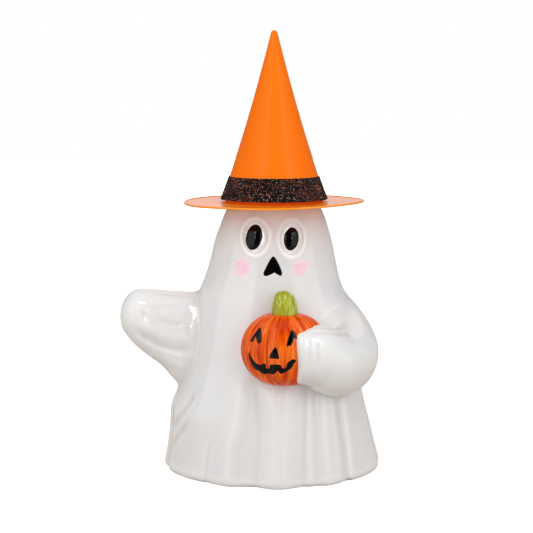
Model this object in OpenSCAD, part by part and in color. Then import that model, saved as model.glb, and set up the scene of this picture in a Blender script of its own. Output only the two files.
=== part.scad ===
// Ceramic ghost in a draped sheet, with one raised arm, a pumpkin held in the other arm and a metal witch's hat.
// Millimetres. Origin: on the table, on the hat's axis. +Z is up, -Y is the face, +X is the pumpkin arm's side.

/* [Ghost] */
// Height above the table of the ring on the head that carries the hat
seat_z = 246; // [215:1:280]
// Radius of the head at that ring
seat_r = 38.9; // [35:0.1:42]
// Height of the crown of the head above the ring
crown_rise = 22; // [16:0.5:30]
// Reach of the hem from the hat's axis to the raised arm's side
hem_left = 103; // [92:1:112]
// Reach of the hem from the hat's axis to the pumpkin arm's side
hem_right = 100; // [90:1:108]
// Reach of the hem from the hat's axis to the front
hem_front = 67; // [58:1:76]
// Reach of the hem from the hat's axis to the back
hem_back = 68; // [58:1:78]
// Distance that the widest part of the hem lies behind the hat's axis
hem_shift = 6; // [0:0.5:10]
// Radius of the hem's rounded lower edge
hem_round = 5; // [3:0.5:7]
// Depth of the deepest drape fold
fold_depth = 4.5; // [1:0.5:6]
// Wall thickness of the casting
wall_t = 4.5; // [3:0.5:6]
// Width of the unglazed foot ring
foot_w = 9; // [6:1:14]
// Depth of the hollow under the floor
foot_recess = 2; // [1:0.5:4]
// Radius of the vent hole in the floor
vent_r = 9; // [5:0.5:14]
// Radius of the slip holes between the body and its hollow limbs
slip_r = 4; // [2:0.5:6]

/* [Face] */
// Angle that the face is turned by, towards the raised arm
face_turn = 1.7; // [0:0.1:6]
// Distance between the centres of the eye sockets
eye_gap = 32; // [28:0.5:36]
// Distance of the eyes below the hat's seat
eye_drop = 27.4; // [22:0.2:36]
// Width of an eye socket
socket_w = 23; // [18:0.5:27]
// Height of an eye socket
socket_h = 31.5; // [24:0.5:35]
// Depth of an eye socket
socket_depth = 2.4; // [1:0.1:3]
// Width of a painted eye
pupil_w = 13.8; // [8:0.2:16]
// Height of a painted eye
pupil_h = 20.8; // [12:0.2:24]
// Height that a painted eye bulges from its socket's floor
pupil_rise = 2.6; // [1:0.1:4]
// Lean of the painted eyes, their tops towards the pumpkin arm
pupil_lean = 7; // [0:1:15]
// Width of the nose
nose_w = 16.4; // [10:0.2:20]
// Height of the nose
nose_h = 17.6; // [10:0.2:20]
// Distance of the nose's tip below the hat's seat
nose_drop = 42.8; // [40:0.2:50]
// Distance between the cheeks
cheek_gap = 49.8; // [44:0.2:54]
// Distance of the cheeks below the hat's seat
cheek_drop = 54.4; // [50:0.2:60]
// Width of a cheek
cheek_w = 14.5; // [10:0.5:18]
// Height of a cheek
cheek_h = 17.5; // [12:0.5:20]
// Thickness of the raised enamel
paint_t = 0.45; // [0.3:0.05:0.8]

/* [Raised arm] */
// Reach of the raised arm from the hat's axis
arm_reach = 140.6; // [128:0.2:150]
// Height of the raised arm's upper edge above the table
arm_top = 166.4; // [155:0.2:176]
// Half height of the raised arm at its root
arm_h = 50; // [42:1:56]
// Half thickness of the raised arm at its root
arm_d = 26; // [22:1:30]
// Depth of the creases along the raised arm
crease_depth = 2.6; // [1:0.2:4]

/* [Pumpkin arm] */
// Radius of the sleeve at the elbow
sleeve_r = 27; // [23:0.5:29]
// Length of the hand's rounded end
hand_round = 4; // [2:0.5:6]

/* [Pumpkin] */
// Width of the pumpkin
pumpkin_w = 76; // [66:1:84]
// Height of the pumpkin
pumpkin_h = 65; // [56:1:72]
// Thickness of the pumpkin from front to back
pumpkin_d = 54; // [48:1:60]
// Distance of the pumpkin's centre from the hat's axis, towards its arm
pumpkin_x = 9; // [4:0.5:14]
// Distance that the pumpkin's centre stands out of the gown
pumpkin_out = 5.6; // [2:0.2:9]
// Height of the pumpkin's centre above the middle of the hand
pumpkin_lift = 4; // [0:0.5:9]
// Number of ribs round the pumpkin
rib_count = 10; // [6:1:12]
// Depth of the valleys between the ribs
rib_depth = 2.4; // [1:0.1:4]
// Width of the stem at its foot
stem_w = 23; // [16:0.5:28]
// Height of the stem above the pumpkin
stem_h = 18; // [12:0.5:24]

/* [Hat] */
// Width of the brim outside the cone
brim_w = 33.6; // [24:0.2:42]
// Thickness of the sheet metal
sheet_t = 0.6; // [0.4:0.1:1.2]
// Radius of the rolled edge of the brim
bead_r = 0.9; // [0.6:0.1:1.5]
// Gap between the head and the hole in the brim
seat_gap = 0.3; // [0.2:0.1:0.5]
// Distance between the head and the outside of the cone's foot
cone_gap = 8.5; // [6:0.1:12]
// Height of the cone above the brim
cone_h = 151; // [120:1:180]
// Depth that the cone's side bows in by at half its height
cone_bow = 1.7; // [0:0.1:3]
// Radius of the cone's rounded tip
tip_r = 3; // [2:0.1:5]
// Width of the flange that is turned in at the cone's foot
flange_w = 4; // [2:0.5:5]
// Width of the glitter ribbon
band_w = 21; // [12:0.5:26]
// Thickness of the glitter ribbon
band_t = 0.6; // [0.4:0.1:2]
// Thickness of the ribbon's gathered lower edge
band_foot_t = 1.4; // [0.4:0.1:3]
// Height of the ribbon's lower edge above the brim
band_lift = 1.6; // [0:0.2:6]

/* [Hidden] */

// Overrun of every cut past the surface that it goes through
over = 2;

// Curve counts of the drawn surfaces
gown_cols = 84;
body_rows = 24;
hem_rows = 3;
crown_rows = 6;
lining_rows = 9;
round_fn = 96;

// Elevation angle at which the crown's ellipse passes through the hat's seat
seat_angle = 42.6;
dome_r = seat_r / cos(seat_angle);
dome_h = crown_rise / (1 - sin(seat_angle));
dome_z = seat_z - dome_h * sin(seat_angle);

// Columns are this many degrees closer together in front than behind
front_bias_angle = 20;

// The gown's profile. Each row is a height as a share of seat_z, then shares of the way
// out from seat_r to the hem: raised arm's side, pumpkin arm's side, front, back, and shift
gown_shares = [
    [0.00, 1.00, 1.00, 1.00, 1.00, 1.00],
    [0.06, 0.95, 0.935, 0.965, 0.95, 0.95],
    [0.12, 0.915, 0.87, 0.93, 0.905, 0.86],
    [0.18, 0.89, 0.81, 0.89, 0.85, 0.75],
    [0.24, 0.87, 0.745, 0.838, 0.787, 0.62],
    [0.30, 0.78, 0.69, 0.785, 0.72, 0.50],
    [0.37, 0.70, 0.605, 0.73, 0.66, 0.36],
    [0.43, 0.63, 0.605, 0.68, 0.61, 0.25],
    [0.49, 0.58, 0.68, 0.645, 0.575, 0.16],
    [0.55, 0.54, 0.68, 0.61, 0.54, 0.10],
    [0.60, 0.505, 0.605, 0.575, 0.51, 0.04],
    [0.67, 0.455, 0.42, 0.52, 0.47, 0.00],
    [0.72, 0.38, 0.337, 0.475, 0.44, 0.00],
    [0.78, 0.305, 0.283, 0.43, 0.41, 0.00],
    [0.86, 0.229, 0.217, 0.365, 0.36, 0.00],
    [0.93, 0.133, 0.136, 0.245, 0.245, 0.00],
    [0.97, 0.069, 0.071, 0.135, 0.135, 0.00],
    [1.00, 0.00, 0.00, 0.00, 0.00, 0.00]];

// The drape folds. Each row is a valley's angle from the front, its half width in degrees,
// its share of fold_depth and the share of seat_z at which it dies out
fold_shares = [
    [-150, 12, 0.8, 0.62], [-125, 9, 0.5, 0.42], [-104, 9, 0.7, 0.34], [-78, 8, 0.6, 0.32],
    [-57, 7, 0.35, 0.30], [-36, 5, 0.4, 0.24], [-16, 9, 0.8, 0.42], [2, 5, 0.5, 0.40],
    [15.5, 4, 0.35, 0.38], [23, 4, 0.35, 0.36], [38, 5, 0.6, 0.36], [60, 8, 0.5, 0.36],
    [84, 8, 0.6, 0.34], [108, 10, 0.7, 0.45], [132, 9, 0.8, 0.60], [155, 8, 0.6, 0.5],
    [176, 10, 1.0, 0.66]];
// How quickly a fold dies out towards its top
fold_power = 0.6;

// The raised arm. Each row is a share of arm_reach, then the middle's height as a share
// of arm_top, the half height as a share of arm_h and the half thickness as a share of arm_d
arm_shares = [
    [0.385, 0.691, 1.00, 1.00], [0.533, 0.704, 0.94, 1.00], [0.626, 0.732, 0.856, 0.96],
    [0.733, 0.787, 0.696, 0.885], [0.821, 0.817, 0.610, 0.81], [0.899, 0.842, 0.510, 0.69],
    [0.956, 0.852, 0.358, 0.50], [0.989, 0.849, 0.190, 0.27], [1.000, 0.847, 0.000, 0.00]];
arm_rings = 15;
arm_sides = 48;

// The creases along the raised arm: angle above the middle line and share of crease_depth
crease_shares = [[33, 0.6], [9, 0.8], [-22, 1.0]];
crease_half_angle = 12;
crease_end_share = 0.18;

// The bent arm's path over the gown, from the shoulder to the hand. Each row is an angle from
// the front and a height as a share of seat_z, then shares of sleeve_r: how far the path lies
// outside the gown, the half thickness and the half height
sleeve_shares = [
    [106, 0.692, -0.67, 0.35, 0.42], [96, 0.615, -0.75, 0.64, 0.74], [76.5, 0.535, -0.58, 0.84, 0.92],
    [56, 0.467, 0.08, 0.94, 1.00], [37, 0.453, 0.41, 0.91, 1.00], [21.5, 0.480, 0.55, 0.85, 0.96],
    [11.5, 0.489, 0.62, 0.81, 0.90]];
elbow_row = 3;
// The side of the sleeve that lies on the body is flatter than the outer side
sleeve_back_share = 0.7;
sleeve_steps = 3;
sleeve_sides = 32;
hand_rows = 3;
// How fast the hand draws in over its rounded end, and the stretch that a heading is read over
hand_draw_share = 2;
heading_share = 0.01;

// The pumpkin's rib lines and the curve of its cheeks
pumpkin_cols = rib_count * 6;
pumpkin_rows = 14;
pumpkin_turn = -14;
cheek_power = 0.85;
rib_power = 0.7;

// The stem's outline: height share and radius share, and how its flutes and top lie
stem_shares = [[-0.35, 1.00], [0.0, 1.0], [0.35, 0.98], [0.64, 0.89], [0.86, 0.68], [0.97, 0.36]];
flute_count = 8;
flute_share = 0.06;
stem_lean_share = -0.12;
stem_cols = 48;

// Outlines, in shares of the nose's, the pumpkin's or the stem's own size
nose_shares = [[0, 0], [0.11, -0.07], [0.26, -0.38], [0.47, -0.80], [0.50, -0.94], [0.42, -1],
               [0.25, -0.98], [0.06, -0.86], [-0.06, -0.86], [-0.25, -0.98], [-0.42, -1],
               [-0.50, -0.94], [-0.47, -0.80], [-0.26, -0.38], [-0.11, -0.07]];
left_hook_shares = [[-0.40, 0.16], [-0.335, 0.255], [-0.275, 0.365], [-0.260, 0.27], [-0.262, 0.175],
                    [-0.29, 0.137], [-0.317, 0.16], [-0.328, 0.235], [-0.355, 0.165]];
right_hook_shares = [[0.010, 0.108], [0.018, 0.214], [0.062, 0.31], [0.10, 0.303], [0.135, 0.208],
                     [0.124, 0.196], [0.10, 0.226], [0.066, 0.122], [0.047, 0.10]];
mark_shares = [[-0.108, 0.105], [-0.072, 0.054], [-0.064, -0.066], [-0.18, -0.052]];
mouth_shares = [[-0.41, 0.048], [-0.385, 0.0], [-0.34, -0.088], [-0.295, -0.138], [-0.217, -0.13],
                [-0.204, -0.186], [-0.174, -0.188], [-0.172, -0.132], [-0.042, -0.138],
                [-0.037, -0.178], [0.010, -0.186], [0.026, -0.11], [0.090, -0.057],
                [0.124, -0.080], [0.105, -0.122], [0.066, -0.21], [-0.047, -0.26],
                [-0.080, -0.22], [-0.143, -0.271], [-0.24, -0.268], [-0.33, -0.203], [-0.38, -0.094]];

// Stretches of the gown that the limbs and the enamel lie on: first and last angle,
// then first and last height as a share of seat_z
arm_patch = [-165, -25, 0.16, 0.80];
sleeve_patch = [-20, 150, 0.22, 0.84];
pumpkin_patch = [-60, 75, 0.26, 0.84];
face_patch = [-50, 50, 0.66, 0.94];
limb_bite = 44;
enamel_bite = 1.5;

white = [0.93, 0.93, 0.92];
black = [0.05, 0.05, 0.05];
pink = [1.0, 0.72, 0.82];
orange = [0.93, 0.36, 0.10];
green = [0.58, 0.68, 0.13];
hat_orange = [0.98, 0.47, 0.13];

function mix(a, b, t) = a + (b - a) * t;

// Which stretch of a table holds t, and the slope of the table at one of its rows
function stretch_at(rows, t, k = 0) =
    k >= len(rows) - 2 || t <= rows[k + 1][0] ? k : stretch_at(rows, t, k + 1);
function slope_at(rows, k) =
    let (a = rows[max(k - 1, 0)], b = rows[min(k + 1, len(rows) - 1)]) (b - a) / (b[0] - a[0]);

// A smooth curve through the rows of a table, read at t in its first column
function smooth(rows, t) =
    let (k = stretch_at(rows, t),
         a = rows[k],
         b = rows[k + 1],
         h = b[0] - a[0],
         s = (t - a[0]) / h)
    a * (1 + 2 * s) * pow(1 - s, 2) + b * s * s * (3 - 2 * s)
        + h * s * (1 - s) * ((1 - s) * slope_at(rows, k) - s * slope_at(rows, k + 1));

// A rounded bump that is 1 at zero and 0 from the half width on
function bell(distance, half) = abs(distance) >= half ? 0 : (1 + cos(180 * distance / half)) / 2;
function turn_between(a, b) = let (d = a - b) d > 180 ? d - 360 : d < -180 ? d + 360 : d;

// How far the folds sink the gown at an angle and a height share
function fold_at(angle, u) =
    fold_depth * max([for (f = fold_shares)
        f[2] * bell(turn_between(angle, f[0]), f[1]) * pow(max(0, 1 - u / f[3]), fold_power)]);

// A point of the gown in plan at an angle from the front, without its folds, then with them
// and inset from its surface
function bare_point(angle, u) =
    let (row = smooth(gown_shares, u),
         side = angle > 0 ? mix(seat_r, hem_right, row[2]) : mix(seat_r, hem_left, row[1]),
         shift = hem_shift * row[5],
         reach = abs(angle) < 90 ? mix(seat_r, hem_front, row[3]) + shift
                                 : mix(seat_r, hem_back, row[4]) - shift)
    [side * sin(angle), shift - reach * cos(angle)];
function plan_point(angle, u, inset) =
    let (p = bare_point(angle, u)) p * (1 - (inset + fold_at(angle, u)) / norm(p));

function bare_angle(j) = let (b = 360 * j / gown_cols) b - front_bias_angle * sin(b);
function col_angle(j) = turn_between(bare_angle(j % gown_cols), 0);
function row_share(k) = mix(hem_round / seat_z, 1, k / body_rows);

function gown_ring(u, inset, z) =
    [for (j = [0:gown_cols - 1]) let (p = plan_point(col_angle(j), u, inset)) [p[0], p[1], z]];
function round_ring(r, z) =
    [for (j = [0:gown_cols - 1]) let (a = col_angle(j)) [r * sin(a), -r * cos(a), z]];
function crown_ring(elevation, inset) =
    round_ring((dome_r - inset) * cos(elevation), dome_z + (dome_h - inset) * sin(elevation));

// The outer skin, from the crown down to the outer edge of the foot
skin_rings = concat(
    [for (k = [crown_rows - 1:-1:1]) crown_ring(mix(seat_angle, 90, k / crown_rows), 0)],
    [for (k = [body_rows:-1:0]) gown_ring(row_share(k), 0, seat_z * row_share(k))],
    [for (k = [1:hem_rows]) let (q = 90 * k / hem_rows)
        gown_ring(row_share(0), hem_round * (1 - cos(q)), hem_round * (1 - sin(q)))]);

// The foot ring, the floor and the vent hole, from outside to inside
floor_top = foot_recess + wall_t;
foot_rings = [
    gown_ring(row_share(0), hem_round + foot_w, 0),
    gown_ring(row_share(0), hem_round + foot_w + foot_recess, foot_recess),
    round_ring(vent_r, foot_recess),
    round_ring(vent_r, floor_top)];

// The lining, from the floor up to the crown
lining_low = (floor_top + wall_t) / seat_z;
lining_rings = concat(
    [gown_ring(lining_low, 2 * wall_t, floor_top)],
    [for (k = [0:lining_rows]) let (u = mix(lining_low, 1, k / lining_rows))
        gown_ring(u, wall_t, seat_z * u)],
    [for (k = [1:2:crown_rows - 1]) crown_ring(mix(seat_angle, 90, k / crown_rows), wall_t)]);

// A closed skin over a row of rings, each with as many points, from one pole to the other
module ring_solid(first, rings, last) {
    n = len(rings[0]);
    end = 1 + n * len(rings);
    faces = concat(
        [for (j = [0:n - 1]) [0, 1 + (j + 1) % n, 1 + j]],
        [for (k = [0:len(rings) - 2]) for (j = [0:n - 1]) for (t = [0, 1])
            let (a = 1 + k * n + j, b = 1 + k * n + (j + 1) % n)
            t == 0 ? [a, b, b + n] : [a, b + n, a + n]],
        [for (j = [0:n - 1]) [end, end - n + j, end - n + (j + 1) % n]]);
    polyhedron([first, for (ring = rings) each ring, last], faces);
}

// The last column or row at or before an angle or a height share
function col_before(angle) = max([for (j = [-gown_cols / 2:gown_cols / 2]) if (bare_angle(j) <= angle) j]);
function row_before(u) = max([for (k = [0:body_rows]) if (row_share(k) <= u) k]);

// A slab of the gown over one stretch: its outer face is the gown's own, raised by lift
module gown_slab(patch, bite, lift = 0) {
    j0 = col_before(patch[0]);
    j1 = col_before(patch[1]);
    k0 = row_before(patch[2]);
    k1 = row_before(patch[3]);
    cols = j1 - j0 + 1;
    rows = k1 - k0 + 1;
    count = cols * rows;
    points = [for (inset = [-lift, bite]) for (k = [k1:-1:k0]) for (j = [j0:j1])
        let (p = plan_point(turn_between(bare_angle(j), 0), row_share(k), inset))
        [p[0], p[1], seat_z * row_share(k)]];
    rim = concat(
        [for (j = [0:cols - 1]) j],
        [for (k = [1:rows - 1]) k * cols + cols - 1],
        [for (j = [cols - 2:-1:0]) (rows - 1) * cols + j],
        [for (k = [rows - 2:-1:1]) k * cols]);
    faces = concat(
        [for (k = [0:rows - 2]) for (j = [0:cols - 2]) for (t = [0, 1])
            let (a = k * cols + j, c = a + cols)
            t == 0 ? [a, a + 1, c + 1] : [a, c + 1, c]],
        [for (k = [0:rows - 2]) for (j = [0:cols - 2]) for (t = [0, 1])
            let (a = count + k * cols + j, c = a + cols)
            t == 0 ? [a, c + 1, a + 1] : [a, c, c + 1]],
        [for (i = [0:len(rim) - 1]) for (t = [0, 1])
            let (a = rim[i], b = rim[(i + 1) % len(rim)])
            t == 0 ? [a, count + a, b] : [b, count + a, count + b]]);
    polyhedron(points, faces);
}

// The point of the bare surface at x and a height in front, and the way that it faces there
function face_angle(x, z) =
    let (row = smooth(gown_shares, z / seat_z))
    asin(x / (x > 0 ? mix(seat_r, hem_right, row[2]) : mix(seat_r, hem_left, row[1])));
function face_point(x, z) =
    let (p = plan_point(face_angle(x, z), z / seat_z, 0)) [p[0], p[1], z];
function face_normal(x, z) =
    let (across = face_point(x + over, z) - face_point(x - over, z),
         up = face_point(x, z + over) - face_point(x, z - over),
         n = cross(across, up))
    n / norm(n);

// Puts a piece that is drawn in XY, and rises along Z, on the face at x and z
module on_face(x, z, sink = 0) {
    n = face_normal(x, z);
    translate(face_point(x, z) - n * sink)
        rotate([90 - asin(n[2]), 0, atan2(n[0], -n[1])])
            children();
}

face_x = -seat_r * sin(face_turn);
eye_x = eye_gap / 2;
eye_z = seat_z - eye_drop;
nose_z = seat_z - nose_drop;
cheek_z = seat_z - cheek_drop;

// An eye socket: an oval dish with a flat floor that is narrower than its mouth
socket_floor_share = 0.84;
socket_flare_share = 1.06;
module socket(side) {
    sides = 40;
    levels = [[0, socket_floor_share], [socket_depth, 1], [socket_depth + over, socket_flare_share]];
    rings = [for (level = levels) [for (j = [0:sides - 1])
        let (a = -360 * j / sides)
        [level[1] * socket_w / 2 * cos(a), level[1] * socket_h / 2 * sin(a), level[0]]]];
    on_face(face_x + side * eye_x, eye_z, socket_depth)
        ring_solid([0, 0, 0], rings, [0, 0, socket_depth + over]);
}

// A glossy bulging eye on the floor of its socket
module pupil(side) {
    sides = 36;
    steps = 5;
    rings = [for (k = [0:steps - 1]) let (e = 90 * k / steps) [for (j = [0:sides - 1])
        let (a = -360 * j / sides)
        [pupil_w / 2 * cos(e) * cos(a), pupil_h / 2 * cos(e) * sin(a), pupil_rise * sin(e)]]];
    color(black)
        on_face(face_x + side * eye_x, eye_z, socket_depth)
            rotate([0, 0, -pupil_lean])
                ring_solid([0, 0, 0], rings, [0, 0, pupil_rise]);
}

// Raised enamel on the face, in the shape of the outline that is its child
module face_enamel() {
    difference() {
        intersection() {
            gown_slab(face_patch, enamel_bite, paint_t);
            rotate([90, 0, 0]) linear_extrude(hem_front + hem_shift) children();
        }
        gown_slab(face_patch, enamel_bite + over);
    }
}

module gown() {
    color(white)
        difference() {
            ring_solid([0, 0, dome_z + dome_h], concat(skin_rings, foot_rings, lining_rings),
                       [0, 0, dome_z + dome_h - wall_t]);
            socket(-1);
            socket(1);
            slip_hole(arm_shares[2][1] * arm_top, -90, 0);
            slip_hole(elbow[3], atan2(elbow[1], -elbow[2]), 0);
            slip_hole(pumpkin_z, 0, pumpkin_x);
        }
}

// A hole through the wall at a height, along a direction from the axis
module slip_hole(z, angle, x) {
    reach = angle == 0 ? pumpkin_y : hem_left;
    translate([x, 0, z])
        rotate([90, 0, angle])
            translate([0, 0, reach / 3])
                cylinder(h = reach, r = slip_r, $fn = round_fn);
}

// One cross-section of the raised arm, upright and square to its reach
function arm_ring(share, inset) =
    let (row = smooth(arm_shares, share),
         fade = min(1, (1 - share) / crease_end_share))
    [for (j = [0:arm_sides - 1])
        let (a = -360 * j / arm_sides,
             front = cos(a) > 0 ? 1 : 0,
             sink = crease_depth * fade * max([for (c = crease_shares)
                 c[1] * bell(turn_between(a, front * c[0] + (1 - front) * (180 - c[0])), crease_half_angle)]),
             half = [arm_d * row[3] - inset, arm_h * row[2] - inset],
             p = [half[0] * cos(a), half[1] * sin(a)],
             q = p * (1 - sink / max(norm(p), crease_depth * 2)))
        [-(arm_reach * share - (share > arm_shares[0][0] ? inset : 0)), -q[0], arm_top * row[1] + q[1]]];

module arm_form(inset = 0) {
    start = arm_shares[0][0];
    last = inset == 0 ? arm_rings - 1 : arm_rings - 3;
    shares = [for (k = [0:last]) mix(start, 1, sin(90 * k / arm_rings))];
    rings = [for (s = shares) arm_ring(s, inset)];
    tip = smooth(arm_shares, 1);
    ring_solid([-arm_reach * start, 0, arm_top * arm_shares[0][1]], rings,
               [-arm_reach + inset, 0, arm_top * tip[1]]);
}

module raised_arm() {
    color(white)
        difference() {
            arm_form();
            arm_form(wall_t);
            gown_slab(arm_patch, limb_bite);
        }
}

// The bent arm: the rows of its path, the cross-sections square to it and its rounded hand
sleeve_last = len(sleeve_shares) - 1;
sleeve_rows = [for (k = [0:sleeve_last])
    let (s = sleeve_shares[k],
         p = bare_point(s[0], s[1]),
         q = p * (1 + s[2] * sleeve_r / norm(p)))
    [k, q[0], q[1], s[1] * seat_z, s[3] * sleeve_r, s[4] * sleeve_r]];
elbow = sleeve_rows[elbow_row];
function sleeve_at(t) = smooth(sleeve_rows, t * sleeve_last);
function sleeve_middle(t) = let (s = sleeve_at(t)) [s[1], s[2], s[3]];
function sleeve_heading(t) =
    let (d = sleeve_middle(min(1, t + heading_share)) - sleeve_middle(max(0, t - heading_share)))
    d / norm(d);
function sleeve_ring(t, inset, shrink, ahead) =
    let (s = sleeve_at(t),
         along = sleeve_heading(t),
         out = [s[1], s[2], 0] / norm([s[1], s[2]]),
         bare = out - along * (out * along),
         across = bare / norm(bare),
         up = cross(along, across))
    [for (j = [0:sleeve_sides - 1])
        let (a = 360 * j / sleeve_sides,
             flat = cos(a) < 0 ? sleeve_back_share : 1)
        sleeve_middle(t) + along * ahead + across * (s[4] - inset) * shrink * flat * cos(a)
            - up * (s[5] - inset) * shrink * sin(a)];

module sleeve_form(inset = 0) {
    steps = sleeve_last * sleeve_steps;
    rings = concat(
        [for (k = [0:steps]) sleeve_ring(k / steps, inset, 1, inset == 0 ? 0 : -inset)],
        [for (k = [1:hand_rows - 1]) let (q = 90 * k / hand_rows)
            sleeve_ring(1, inset, 1 - (1 - cos(q)) * hand_draw_share * hand_round / sleeve_r,
                        hand_round * sin(q) - inset)]);
    ring_solid(sleeve_middle(0), rings,
               sleeve_middle(1) + sleeve_heading(1) * (hand_round - inset));
}

module pumpkin_arm() {
    color(white)
        difference() {
            sleeve_form();
            sleeve_form(wall_t);
            gown_slab(sleeve_patch, limb_bite);
            pumpkin_form(0);
        }
}

// The pumpkin is held against the gown, at the height of the hand
pumpkin_z = sleeve_rows[sleeve_last][3] + pumpkin_lift;
pumpkin_y = pumpkin_out - face_point(pumpkin_x, pumpkin_z)[1];

// The pumpkin's skin, grown outwards from its own surface
function pumpkin_ring(lat, grow) =
    [for (j = [0:pumpkin_cols - 1])
        let (a = 360 * j / pumpkin_cols,
             valley = rib_depth * (1 - pow(abs(sin(rib_count * a / 2)), rib_power)),
             r = pow(cos(lat), cheek_power))
        [(pumpkin_w / 2 + grow - valley) * r * sin(a),
         -(pumpkin_d / 2 + grow - valley) * r * cos(a),
         (pumpkin_h / 2 + grow) * sin(lat)]];
module pumpkin_form(grow) {
    rings = [for (k = [pumpkin_rows - 1:-1:1]) pumpkin_ring(mix(-90, 90, k / pumpkin_rows), grow)];
    translate([pumpkin_x, -pumpkin_y, pumpkin_z])
        rotate([0, 0, pumpkin_turn])
            ring_solid([0, 0, pumpkin_h / 2 + grow], rings, [0, 0, -pumpkin_h / 2 - grow]);
}

module pumpkin() {
    color(orange)
        difference() {
            pumpkin_form(0);
            pumpkin_form(-wall_t);
            gown_slab(pumpkin_patch, limb_bite);
        }
}

module stem_form() {
    rings = [for (k = [len(stem_shares) - 1:-1:0]) let (row = stem_shares[k]) [for (j = [0:stem_cols - 1])
        let (a = 360 * j / stem_cols,
             r = stem_w / 2 * row[1] * (1 - flute_share * (1 - abs(sin(flute_count * a / 2)))))
        [r * sin(a) + stem_lean_share * stem_w * row[0], -r * cos(a), stem_h * row[0]]]];
    top = [stem_lean_share * stem_w, 0, stem_h];
    bottom = [-stem_lean_share * stem_w * -stem_shares[0][0], 0, stem_h * stem_shares[0][0]];
    translate([pumpkin_x, -pumpkin_y, pumpkin_z + pumpkin_h / 2])
        ring_solid(top, rings, bottom);
}

module pumpkin_stem() {
    color(green)
        difference() {
            stem_form();
            pumpkin_form(0);
            gown_slab(pumpkin_patch, limb_bite);
        }
}

// Black enamel on the pumpkin's front, in the shape of an outline given in shares of its size
module pumpkin_enamel(outlines) {
    color(black)
        difference() {
            intersection() {
                pumpkin_form(paint_t);
                union() {
                    for (outline = outlines)
                        translate([pumpkin_x, -pumpkin_y, pumpkin_z])
                            rotate([90, 0, 0])
                                linear_extrude(pumpkin_d)
                                    polygon([for (s = outline) [s[0] * pumpkin_w, s[1] * pumpkin_h]]);
                }
            }
            pumpkin_form(0);
        }
}

module pumpkin_eyes() pumpkin_enamel([left_hook_shares, right_hook_shares]);
module pumpkin_nose() pumpkin_enamel([mark_shares]);
module pumpkin_mouth() pumpkin_enamel([mouth_shares]);

module left_eye() pupil(-1);
module right_eye() pupil(1);

module nose() {
    color(black)
        face_enamel()
            translate([face_x, nose_z])
                polygon([for (s = nose_shares) [s[0] * nose_w, s[1] * nose_h]]);
}

module cheek(side) {
    sides = 24;
    color(pink)
        face_enamel()
            translate([2 * face_x + side * cheek_gap / 2, cheek_z])
                polygon([for (j = [0:sides - 1]) let (a = 360 * j / sides)
                    [cheek_w / 2 * cos(a), cheek_h / 2 * sin(a)]]);
}
module left_cheek() cheek(-1);
module right_cheek() cheek(1);

// The hat: a flat ring with a rolled edge, a cone with a turned-in flange, and a ribbon
bead_steps = 16;
cone_steps = 12;
tip_steps = 6;
tip_hollow_share = 0.5;
brim_top = seat_z + sheet_t;
cone_r = seat_r + cone_gap;
brim_r = cone_r + brim_w;
tip_z = cone_h - tip_r;
cone_tilt = atan((cone_r - tip_r) / tip_z);
cone_step = tip_z / cone_steps;
// The cone's radius at a height, then on the straight stretches that it is drawn in
function cone_at(h) = cone_r - h * tan(cone_tilt) - cone_bow * sin(180 * h / tip_z);
function cone_side(h) =
    let (k = floor(h / cone_step)) mix(cone_at(k * cone_step), cone_at((k + 1) * cone_step), h / cone_step - k);

module hat_brim() {
    bead_x = brim_r - bead_r;
    bead_z = seat_z + sheet_t / 2;
    meet = asin(min(1, sheet_t / 2 / bead_r));
    color(hat_orange)
        rotate_extrude($fn = round_fn)
            polygon(concat(
                [[seat_r + seat_gap, brim_top], [seat_r + seat_gap, seat_z]],
                [for (a = [180 + meet:(360 - 2 * meet) / bead_steps:540 - meet])
                    [bead_x + bead_r * cos(a), bead_z + bead_r * sin(a)]]));
}

module hat_cone() {
    wall = sheet_t / cos(cone_tilt);
    inner_r = tip_r * tip_hollow_share;
    inner_z = tip_z - tip_r;
    color(hat_orange)
        translate([0, 0, brim_top])
            rotate_extrude($fn = round_fn)
                polygon(concat(
                    [[cone_r - flange_w, 0]],
                    [for (k = [0:cone_steps - 1]) [cone_at(k * cone_step), k * cone_step]],
                    [for (a = [cone_tilt:(90 - cone_tilt) / tip_steps:90])
                        [tip_r * cos(a), tip_z + tip_r * sin(a)]],
                    [[0, inner_z], [inner_r, inner_z]],
                    [for (k = [cone_steps - 1:-1:1]) [cone_at(k * cone_step) - wall, k * cone_step]],
                    [[cone_side(sheet_t) - wall, sheet_t], [cone_r - flange_w, sheet_t]]));
}

module hat_band() {
    low = band_lift;
    high = band_lift + band_w * cos(cone_tilt);
    joints = [for (k = [1:cone_steps]) if (k * cone_step > low && k * cone_step < high) k * cone_step];
    heights = concat([low], joints, [high]);
    color(black)
        translate([0, 0, brim_top])
            rotate_extrude($fn = round_fn)
                polygon(concat(
                    [for (h = heights) [cone_side(h), h]],
                    [for (k = [len(heights) - 1:-1:0])
                        let (h = heights[k], t = mix(band_foot_t, band_t, (h - low) / (high - low)))
                        [cone_side(h) + t / cos(cone_tilt), h]]));
}

gown();
raised_arm();
pumpkin_arm();
pumpkin();
pumpkin_stem();
left_eye();
right_eye();
nose();
left_cheek();
right_cheek();
pumpkin_eyes();
pumpkin_nose();
pumpkin_mouth();
hat_brim();
hat_cone();
hat_band();
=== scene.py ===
import math

import bmesh
import bpy
import numpy as np
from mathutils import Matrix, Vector
from mathutils.bvhtree import BVHTree


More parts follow.
